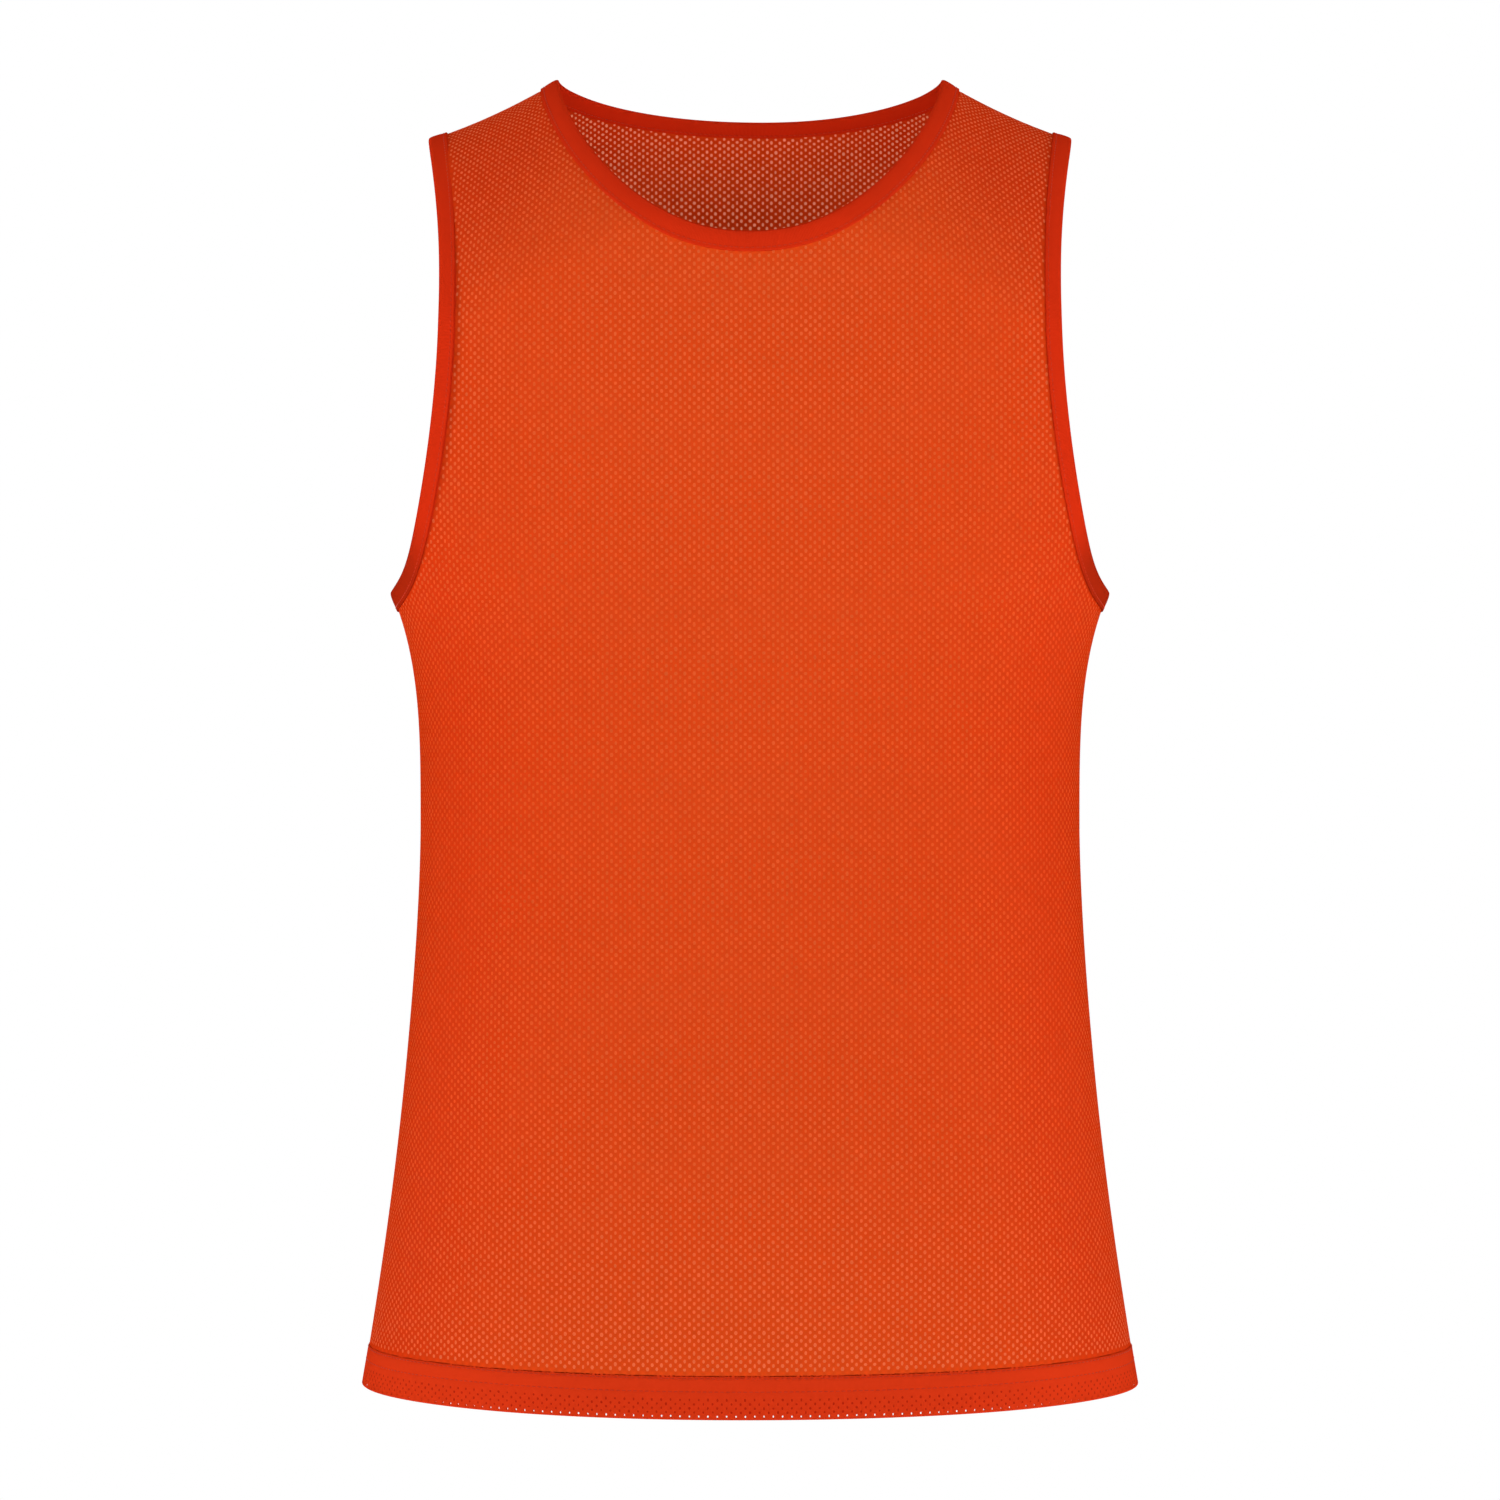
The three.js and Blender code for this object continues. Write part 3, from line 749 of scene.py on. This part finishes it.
# ---------------------------------------------------------------- stitches

THREAD_RADIUS = 0.26 * MM
STITCH_RINGS = ((-1.0, 0.35), (-0.72, 0.9), (0.0, 1.0), (0.72, 0.9), (1.0, 0.35))
STITCH_SIDES = 6


def stitches(points, normals, pitch, length):
    """Points and faces of a row of stitches round a closed line of points."""
    ring, ring_normals = np.concatenate([points, points[:1]]), np.concatenate([normals, normals[:1]])
    reached = distances(ring)
    count = int(reached[-1] / pitch)
    centre = (np.arange(count) + 0.5) * reached[-1] / count
    vertices = []
    across_ring = [2 * math.pi * k / STITCH_SIDES for k in range(STITCH_SIDES)]
    for t, share in STITCH_RINGS:
        where = centre + t * length / 2
        middle, up = between(ring, reached, where), between(ring_normals, reached, where)
        up /= np.linalg.norm(up, axis=-1, keepdims=True)
        ahead = between(ring, reached, where + 0.2 * MM) - between(ring, reached, where - 0.2 * MM)
        beside = np.cross(ahead, up)
        beside /= np.linalg.norm(beside, axis=-1, keepdims=True)
        sunk = up * (THREAD_RADIUS * (0.55 - 0.9 * t * t))
        for turn in across_ring:
            radius = share * THREAD_RADIUS
            offset = beside * (math.cos(turn) * radius) + up * (math.sin(turn) * radius * 0.8)
            vertices.append(middle + sunk + offset)
    table = np.array(vertices).transpose(1, 0, 2)
    one_stitch = strip_faces(len(STITCH_RINGS), STITCH_SIDES)
    return joined([(points_of_one, one_stitch) for points_of_one in table])


BINDING_STITCH_INSET = 2 * MM
BINDING_THREAD_LIFT, HEM_THREAD_LIFT = 0.80 * MM, 0.25 * MM
BINDING_STITCH_PITCH, BINDING_STITCH_LENGTH = 2.7 * MM, 2.1 * MM
HEM_STITCH_PITCH, HEM_STITCH_LENGTH = 2.9 * MM, 2.4 * MM
HEM_LINE_STEPS = 900


def loop_stitches(name, loop, mirror=False):
    places = inset(loop, BINDING_WIDTH - BINDING_STITCH_INSET)
    parts = []
    for lift in (BINDING_THREAD_LIFT, -BINDING_THREAD_LIFT):
        line = place(places[:, 0], places[:, 1], lift)
        facing = normal(places[:, 0], places[:, 1]) * math.copysign(1, lift)
        parts.append(stitches(line, facing, BINDING_STITCH_PITCH, BINDING_STITCH_LENGTH))
    points, faces = joined(parts)
    if mirror:
        points = points * [-1, 1, 1]
    return fix_winding(add_piece(name, points, faces))


def hem_line(v, lift):
    """Points and normals once round the body at a height, from the right side seam over the front."""
    spaced = []
    for side in (FRONT, BACK):
        flat = flats[side]
        reach = flat.side_reach(np.array([v]))[0]
        u = np.linspace(reach, -reach, HEM_LINE_STEPS)
        spaced.append(np.stack(flat.to_place(u, np.full(HEM_LINE_STEPS, v)), -1))
    places = np.concatenate([spaced[0][:-1], spaced[1][::-1][:-1]])
    return place(places[:, 0], places[:, 1], lift), normal(places[:, 0], places[:, 1])


def hem_stitches(name, v):
    parts = []
    for lift in (HEM_THREAD_LIFT, -HEM_THREAD_LIFT):
        line, facing = hem_line(v, lift)
        parts.append(stitches(line, facing * math.copysign(1, lift), HEM_STITCH_PITCH, HEM_STITCH_LENGTH))
    return fix_winding(add_piece(name, *joined(parts)))


# ---------------------------------------------------------------- seam allowances

SEAM_WIDTH = 6 * MM
# Section of a seam allowance: (distance from the seam, height off the cloth), in millimetres
SEAM_SECTION = (
    (0.0, -0.75), (0.6, -1.9), (3.0, -2.1), (5.4, -2.0), (6.0, -1.5), (5.4, -1.05), (3.0, -1.1), (1.0, -0.95),
)
OVERLOCK_PITCH, OVERLOCK_RADIUS, OVERLOCK_LIFT = 2.2 * MM, 0.2 * MM, 0.12 * MM
OVERLOCK_SIDES = 5
NEAR_EDGE = 0.18  # share of the allowance's width at which the zigzag turns on the seam's side


def overlock(points, normals, across):
    """A thread that zigzags over a seam allowance: a tube through a line of points."""
    reached = distances(points)
    count = int(reached[-1] / OVERLOCK_PITCH) * 2
    where = np.linspace(0, reached[-1], count)
    middle, beside, up = (between(line, reached, where) for line in (points, across, normals))
    side = np.where(np.arange(count) % 2, 1.0, NEAR_EDGE)[:, None] * SEAM_WIDTH
    return tube(middle + beside * side + up * OVERLOCK_LIFT, up, OVERLOCK_RADIUS)


def tube(path, up, radius):
    """Points and faces of a round thread along a path."""
    ahead = np.gradient(path, axis=0)
    ahead /= np.linalg.norm(ahead, axis=-1, keepdims=True)
    beside = np.cross(ahead, up)
    beside /= np.linalg.norm(beside, axis=-1, keepdims=True)
    over = np.cross(beside, ahead)
    turns = [2 * math.pi * k / OVERLOCK_SIDES for k in range(OVERLOCK_SIDES)]
    lines = [path + beside * (math.cos(turn) * radius) + over * (math.sin(turn) * radius) for turn in turns]
    return along_first(lines), strip_faces(len(path), OVERLOCK_SIDES)


def make_seam(name, places, mirror=False):
    """An overlocked seam allowance that lies inside the cloth, turned towards the back."""
    line = surface(*places.T)
    along = np.gradient(line, axis=0)
    facing = normal(*places.T)
    across = np.cross(along, facing)
    across /= np.linalg.norm(across, axis=-1, keepdims=True)
    across *= np.sign(np.sum(across * [0, 1, 0], -1))[:, None]
    lines = []
    for distance, height in SEAM_SECTION:
        moved = settle(line + across * distance * MM, places)
        lines.append(place(moved[:, 0], moved[:, 1], height * MM))
    lines = np.array(lines)
    near_edge, far_edge = lines[1], lines[3]
    sewn = overlock(near_edge, -facing, (far_edge - near_edge) / SEAM_WIDTH)
    cloth = along_first(lines), strip_faces(len(places), len(SEAM_SECTION))
    points, faces = joined([cloth, sewn])
    material = [0] * len(cloth[1]) + [1] * len(sewn[1])
    if mirror:
        points = points * [-1, 1, 1]
    return fix_winding(add_piece(name, points, faces, material_of=material))


# ---------------------------------------------------------------- materials


def linear(value):
    return ((value / 255 + 0.055) / 1.055) ** 2.4 if value > 10 else value / 255 / 12.92


def srgb(r, g, b):
    return linear(r), linear(g), linear(b), 1.0


class Nodes:
    """A small helper for building a node tree."""

    def __init__(self, material):
        material.use_nodes = True
        self.tree = material.node_tree
        self.tree.nodes.clear()

    def add(self, kind, inputs=None, **settings):
        node = self.tree.nodes.new(kind)
        for key, value in settings.items():
            setattr(node, key, value)
        for key, value in (inputs or {}).items():
            if isinstance(value, bpy.types.NodeSocket):
                self.tree.links.new(value, node.inputs[key])
            else:
                node.inputs[key].default_value = value
        return node

    def maths(self, operation, a, b=0.0, c=0.0):
        return self.add("ShaderNodeMath", {0: a, 1: b, 2: c}, operation=operation).outputs[0]

    def mix(self, share, first, second):
        """A mix of two colours."""
        return self.add("ShaderNodeMix", {"Factor": share, 6: first, 7: second}, data_type="RGBA").outputs[2]

    def scaled(self, colour, factor):
        return self.add("ShaderNodeVectorMath", {0: colour, 3: factor}, operation="SCALE").outputs[0]


def knit(nodes, coordinates, wale, course):
    """Height of a fine knit: rows of small V-shaped loops, wale apart across and course apart down."""
    split = nodes.add("ShaderNodeSeparateXYZ", {0: coordinates})
    x = nodes.maths("MULTIPLY", split.outputs[0], 2 * math.pi / wale)
    y = nodes.maths("MULTIPLY", split.outputs[1], 2 * math.pi / course)
    across = nodes.maths("ABSOLUTE", nodes.maths("SINE", nodes.maths("MULTIPLY", x, 0.5)))
    slant = nodes.maths("SINE", nodes.maths("MULTIPLY_ADD", across, 2.2, y))
    return nodes.maths("MULTIPLY_ADD", slant, 0.35, across)


def cloth_material(name, colour, dark, light, wale, course, bump, translucent, sheen, roughness, streak,
                   painted_shade=None, lattice=0.0):
    """Knitted cloth. An optional painted shade darkens it towards a tint near a place, and lattice is the
    strength of the tone round each hole of the mesh, which paints the shading of its ribs."""
    material = bpy.data.materials.new(name)
    nodes = Nodes(material)
    flat = nodes.add("ShaderNodeAttribute", attribute_name="flat").outputs["Vector"]
    place_in = nodes.add("ShaderNodeTexCoord").outputs["Object"]
    height = knit(nodes, flat, wale, course)
    broad = nodes.add("ShaderNodeTexNoise", {
        "Vector": place_in, "Scale": 7.0, "Detail": 3.0, "Roughness": 0.55})
    fine = nodes.add("ShaderNodeTexNoise", {
        "Vector": place_in, "Scale": streak, "Detail": 2.0, "Roughness": 0.6})
    loops = nodes.mix(nodes.maths("MULTIPLY_ADD", height, 0.4, 0.3), dark, light)
    tone = nodes.maths("MULTIPLY_ADD", broad.outputs["Fac"], 0.16, 0.92)
    tone = nodes.maths("ADD", tone, nodes.maths("MULTIPLY_ADD", fine.outputs["Fac"], 0.14, -0.07))
    base = nodes.mix(0.55, nodes.scaled(loops, tone), colour)
    if painted_shade is not None:
        # painted shade: the distance from the centre, weighted by axis; the tint is fullest up to start and
        # gone at end
        centre, weights, start, end, share, tint = painted_shade
        away = nodes.add("ShaderNodeVectorMath", {0: place_in, 1: centre}, operation="SUBTRACT").outputs[0]
        away = nodes.add("ShaderNodeVectorMath", {0: away, 1: weights}, operation="MULTIPLY").outputs[0]
        away = nodes.add("ShaderNodeVectorMath", {0: away}, operation="LENGTH").outputs["Value"]
        close = nodes.add("ShaderNodeMapRange", {0: away, 1: start, 2: end, 3: share, 4: 0.0},
                          interpolation_type="SMOOTHSTEP").outputs[0]
        base = nodes.mix(close, base, tint)
    # painted shading of the ribs: the colour turns lighter and darker with the lattice of holes
    if lattice:
        split = nodes.add("ShaderNodeSeparateXYZ", {0: flat})
        across = nodes.maths("MULTIPLY", split.outputs[0], 2 * math.pi / HOLE_ACROSS)
        down = nodes.maths("MULTIPLY", split.outputs[1], 2 * math.pi / HOLE_DOWN)
        ribs = nodes.maths("MULTIPLY", nodes.maths("COSINE", across), nodes.maths("COSINE", down))
        base = nodes.scaled(base, nodes.maths("MULTIPLY_ADD", ribs, lattice, 1.0))
    raised = nodes.add(
        "ShaderNodeBump", {"Height": nodes.maths("MULTIPLY_ADD", fine.outputs["Fac"], 0.5, height),
                           "Strength": bump, "Distance": 0.25 * MM})
    rough = nodes.maths("MULTIPLY_ADD", broad.outputs["Fac"], 0.12, roughness - 0.06)
    front = nodes.add("ShaderNodeBsdfPrincipled", {
        "Base Color": base, "Roughness": rough, "Normal": raised.outputs[0],
        "Sheen Weight": sheen, "Sheen Roughness": 0.45, "Sheen Tint": light, "Specular IOR Level": 0.0,
    })
    through = nodes.add("ShaderNodeBsdfTranslucent", {"Color": base, "Normal": raised.outputs[0]})
    both = nodes.add("ShaderNodeMixShader", {0: translucent, 1: front.outputs[0], 2: through.outputs[0]})
    nodes.add("ShaderNodeOutputMaterial", {"Surface": both.outputs[0]})
    return material


SIDES_FROM, SIDES_TO = 60 * MM, 125 * MM  # distances from the plane of the side seams, over which the mesh's painted shade at the flanks fades out


def window_material(name, colour, through_colour, translucent, at_sides=0.0):
    """A sunk sheet in a hole of the mesh: its colour paints the light or the shade seen through an open hole,
    and its translucency lets some real light through. at_sides is how far it takes the mesh's own colour at
    the sides, where the painted light fades out.
    """
    material = bpy.data.materials.new(name)
    nodes = Nodes(material)
    place_in = nodes.add("ShaderNodeTexCoord").outputs["Object"]
    patch = nodes.add("ShaderNodeTexNoise", {"Vector": place_in, "Scale": 160.0, "Detail": 2.0})
    tone = nodes.maths("MULTIPLY_ADD", patch.outputs["Fac"], 0.3, 0.85)
    split = nodes.add("ShaderNodeSeparateXYZ", {0: place_in})
    close = nodes.add("ShaderNodeMapRange", {
        0: nodes.maths("ABSOLUTE", split.outputs[1]), 1: SIDES_FROM, 2: SIDES_TO, 3: at_sides, 4: 0.0,
    }).outputs[0]
    base = nodes.scaled(nodes.mix(close, colour, MESH_ORANGE), tone)
    pale = nodes.scaled(through_colour[:3], tone)
    front = nodes.add("ShaderNodeBsdfPrincipled", {
        "Base Color": base, "Roughness": 0.7, "Specular IOR Level": 0.0})
    through = nodes.add("ShaderNodeBsdfTranslucent", {"Color": pale})
    both = nodes.add("ShaderNodeMixShader", {0: translucent, 1: front.outputs[0], 2: through.outputs[0]})
    nodes.add("ShaderNodeOutputMaterial", {"Surface": both.outputs[0]})
    return material


MESH_ORANGE = srgb(228, 71, 20)
MESH_DARK = srgb(216, 54, 13)
MESH_LIGHT = srgb(240, 92, 34)
TAPE_RED = srgb(212, 44, 14)
TAPE_DARK = srgb(194, 34, 11)
TAPE_LIGHT = srgb(224, 58, 22)

# Painted shade: the mesh darkens and reddens towards the side seams, fullest up to SIDES_FROM from their
# plane and gone at SIDES_TO.
mesh_cloth = cloth_material(
    "mesh_cloth", MESH_ORANGE, MESH_DARK, MESH_LIGHT, 0.60 * MM, 0.50 * MM, 0.5, 0.06, 0.04, 0.66, 420.0,
    painted_shade=((0, 0, 0), (0, 1, 0), SIDES_FROM, SIDES_TO, 0.9, MESH_DARK), lattice=0.07)
# Painted light: the panels' windows are paler, as if light showed through open holes, with a pale translucent
# colour as well.
light_window_cloth = window_material("painted_light_window", srgb(244, 96, 40), srgb(255, 190, 150), 0.36, at_sides=0.9)
# Painted shade: the hem's windows are dark red for the shaded inner layer behind the outer holes.
shaded_cloth = window_material("shaded_knit", srgb(184, 36, 11), srgb(184, 36, 11), 0.05)
hem_cloth = cloth_material(
    "hem_cloth", srgb(228, 56, 20), srgb(212, 44, 13), srgb(238, 74, 32), 0.60 * MM, 0.50 * MM, 0.5, 0.12,
    0.06, 0.66, 420.0)
# Painted shade: the tape darkens towards srgb(146, 34, 11) round the bottom of each armhole, where shade
# gathers under the arm.
tape_cloth = cloth_material(
    "binding_tape", TAPE_RED, TAPE_DARK, TAPE_LIGHT, 0.70 * MM, 0.45 * MM, 0.45, 0.03, 0.05, 0.6, 500.0,
    painted_shade=((0, 0, -UNDERARM_DROP), (0, 0.8, 1), 46 * MM, 70 * MM, 0.7, srgb(146, 34, 11)))
seam_cloth = cloth_material(
    "seam_cloth", srgb(196, 50, 18), srgb(176, 40, 12), srgb(214, 66, 28), 0.60 * MM, 0.50 * MM, 0.5, 0.05,
    0.05, 0.66, 420.0)


def thread_material():
    material = bpy.data.materials.new("thread")
    nodes = Nodes(material)
    place_in = nodes.add("ShaderNodeTexCoord").outputs["Object"]
    twist = nodes.add("ShaderNodeTexWave", {
        "Vector": place_in, "Scale": 900.0, "Distortion": 2.0, "Detail": 1.0}, bands_direction="DIAGONAL")
    patch = nodes.add("ShaderNodeTexNoise", {"Vector": place_in, "Scale": 60.0})
    tone = nodes.mix(patch.outputs["Fac"], srgb(186, 40, 13), srgb(214, 56, 20))
    raised = nodes.add("ShaderNodeBump", {
        "Height": twist.outputs["Fac"], "Strength": 0.4, "Distance": 0.08 * MM})
    shader = nodes.add("ShaderNodeBsdfPrincipled", {
        "Base Color": tone, "Roughness": 0.5, "Normal": raised.outputs[0],
        "Specular IOR Level": 0.15})
    nodes.add("ShaderNodeOutputMaterial", {"Surface": shader.outputs[0]})
    return material


thread = thread_material()

# ---------------------------------------------------------------- the pieces

front_panel = make_panel("front_panel_cloth", FRONT)
back_panel = make_panel("back_panel_cloth", BACK)
front_hem = make_hem("front_hem_cloth", FRONT)
back_hem = make_hem("back_hem_cloth", BACK)
neck_tape = make_binding("neck_binding_tape", neck_places)
neck_stitches = loop_stitches("neck_binding_stitches", neck_places)
MIRRORED = {"right": False, "left": True}
arm_tapes = {
    which: make_binding(which + "_armhole_tape", armhole_places, mirror)
    for which, mirror in MIRRORED.items()}
arm_stitches = {
    which: loop_stitches(which + "_armhole_stitches", armhole_places, mirror)
    for which, mirror in MIRRORED.items()}
hem_rows = {
    "upper": hem_stitches("hem_stitches_upper", HEM_TOP + STITCH_ROWS[0]),
    "lower": hem_stitches("hem_stitches_lower", HEM_TOP + STITCH_ROWS[1]),
}

SIDE_GAP, RIDGE_GAP = 1.0 * MM, 0.8 * MM  # between the end of a seam allowance and the tape
INTO_HEM = 1.0 * MM  # the side seam allowance is caught in the hem this far
SIDE_SEAM_STEPS, AT_SEAM = 200, 1e-3
underarm = inset(armhole_places, BINDING_WIDTH + SIDE_GAP)[ARMHOLE_STEPS]
side_heights = np.linspace(surface(*underarm)[2], -HEM_TOP - INTO_HEM, SIDE_SEAM_STEPS)
side_angles = np.full(SIDE_SEAM_STEPS, AT_SEAM)
side_places = np.stack([side_angles, fall_at(FRONT, side_angles, side_heights)], -1)
neck_corner = inset(neck_places, BINDING_WIDTH + RIDGE_GAP)[NECK_STEPS]
arm_corner = inset(armhole_places, BINDING_WIDTH + RIDGE_GAP)[0]
ridge_angles = np.linspace(neck_corner[0], arm_corner[0], RIDGE_STEPS)
ridge_places = np.stack([ridge_angles, np.full(RIDGE_STEPS, AT_SEAM)], -1)
seams = {}
for which, mirror in MIRRORED.items():
    seams[which + "_side"] = make_seam(which + "_side_allowance", side_places, mirror)
    seams[which + "_shoulder"] = make_seam(which + "_shoulder_allowance", ridge_places, mirror)


def dress(piece, slot, nodes, *materials):
    for material in materials:
        piece.data.materials.append(material)
    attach(piece, "root")
    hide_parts(*nodes)


dress(front_panel, "mesh_cloth", ["front_panel"], mesh_cloth, light_window_cloth)
dress(back_panel, "mesh_cloth", ["back_panel"], mesh_cloth, light_window_cloth)
dress(front_hem, "hem_cloth", ["front_hem"], hem_cloth, shaded_cloth)
dress(back_hem, "hem_cloth", ["back_hem"], hem_cloth, shaded_cloth)
dress(neck_tape, "binding_tape", ["neck_binding"], tape_cloth)
dress(neck_stitches, "thread", ["neck_binding_stitching"], thread)
for which in ("right", "left"):
    dress(arm_tapes[which], "binding_tape", [which + "_armhole_binding"], tape_cloth)
    dress(arm_stitches[which], "thread", [which + "_armhole_stitching"], thread)
    dress(seams[which + "_side"], "seam_cloth", [which + "_side_seam"], seam_cloth, thread)
    dress(seams[which + "_shoulder"], "seam_cloth", [which + "_shoulder_seam"], seam_cloth, thread)
for which in ("upper", "lower"):
    dress(hem_rows[which], "thread", ["hem_stitching_" + which], thread)

sewn_on = {
    front_panel: [neck_tape, neck_stitches, *arm_tapes.values(), *arm_stitches.values()],
    back_panel: list(seams.values()),
    front_hem: list(hem_rows.values()),
    back_hem: [],
}
for cloth, pieces in sewn_on.items():
    size, area = flat_sizes[cloth.name]

# ---------------------------------------------------------------- stage, light and camera

FLOOR_DROP, FLOOR_REACH = 0.45, 2.0
floor_z = -BODY_LENGTH - FLOOR_DROP
floor_corners = [(x * FLOOR_REACH, y * FLOOR_REACH, floor_z) for x, y in ((-1, -1), (1, -1), (1, 1), (-1, 1))]
floor_mesh = bpy.data.meshes.new("floor")
floor_mesh.from_pydata(floor_corners, [], [(0, 1, 2, 3)])
floor = bpy.data.objects.new("floor", floor_mesh)
bpy.context.scene.collection.objects.link(floor)
floor_material = bpy.data.materials.new("floor")
floor_nodes = Nodes(floor_material)
floor_shader = floor_nodes.add("ShaderNodeBsdfPrincipled", {
    "Base Color": (0.9, 0.9, 0.9, 1), "Roughness": 0.8})
floor_nodes.add("ShaderNodeOutputMaterial", {"Surface": floor_shader.outputs[0]})
floor_mesh.materials.append(floor_material)
floor.visible_camera = False  # it only lights the cloth from below: the backdrop is plain white

world = bpy.data.worlds.new("studio")
bpy.context.scene.world = world
studio = Nodes(world)
direction = studio.add("ShaderNodeTexCoord").outputs["Generated"]
upward = studio.add("ShaderNodeSeparateXYZ", {0: direction}).outputs["Z"]
# A pale studio: bright round about and below, dimmer overhead, and plain white where the camera sees it
overhead = studio.add("ShaderNodeMapRange", {
    "Value": upward, "From Max": 0.35, "To Min": 0.32, "To Max": 0.04})
lit = studio.add("ShaderNodeBackground", {"Color": (1, 1, 1, 1), "Strength": overhead.outputs[0]})
seen = studio.add("ShaderNodeBackground", {"Color": (1, 1, 1, 1), "Strength": 1.0})
by_camera = studio.add("ShaderNodeLightPath").outputs["Is Camera Ray"]
sky = studio.add("ShaderNodeMixShader", {0: by_camera, 1: lit.outputs[0], 2: seen.outputs[0]})
studio.add("ShaderNodeOutputWorld", {0: sky.outputs[0]})
bpy.context.scene.view_settings.view_transform = "Standard"


def soft_light(name, at, aim, size, power):
    data = bpy.data.lights.new(name, "AREA")
    data.shape, data.size, data.energy = "SQUARE", size, power
    lamp = bpy.data.objects.new(name, data)
    bpy.context.scene.collection.objects.link(lamp)
    lamp.location = at
    lamp.rotation_euler = (Vector(aim) - Vector(at)).to_track_quat("-Z", "Y").to_euler()


CENTRE_HEIGHT = -0.35
# name, place in metres, size in metres and power in watts of each lamp
for lamp_name, at, size, power in (
    ("key", (0.1, -2.8, -0.95), 1.1, 53),
    ("side_right", (2.4, -0.3, -0.45), 1.2, 30),
    ("side_left", (-2.4, -0.3, -0.45), 1.2, 31),
    ("back", (0.0, 2.8, -0.4), 1.5, 36),
    ("top", (0.0, 0.2, 1.7), 1.2, 20),
):
    soft_light(lamp_name, at, (0, 0, CENTRE_HEIGHT), size, power)

CAMERA_DISTANCE = 2.7
FRAME_WIDTH = 0.7845  # what the square picture shows at the middle of the vest
camera_data = bpy.data.cameras.new("camera")
camera_data.sensor_fit = "HORIZONTAL"
camera_data.angle = 2 * math.atan(FRAME_WIDTH / 2 / CAMERA_DISTANCE)
camera = bpy.data.objects.new("camera", camera_data)
bpy.context.scene.collection.objects.link(camera)
camera.location = (0, -CAMERA_DISTANCE, CENTRE_HEIGHT)
camera.rotation_euler = (math.radians(90), 0, 0)
bpy.context.scene.camera = camera
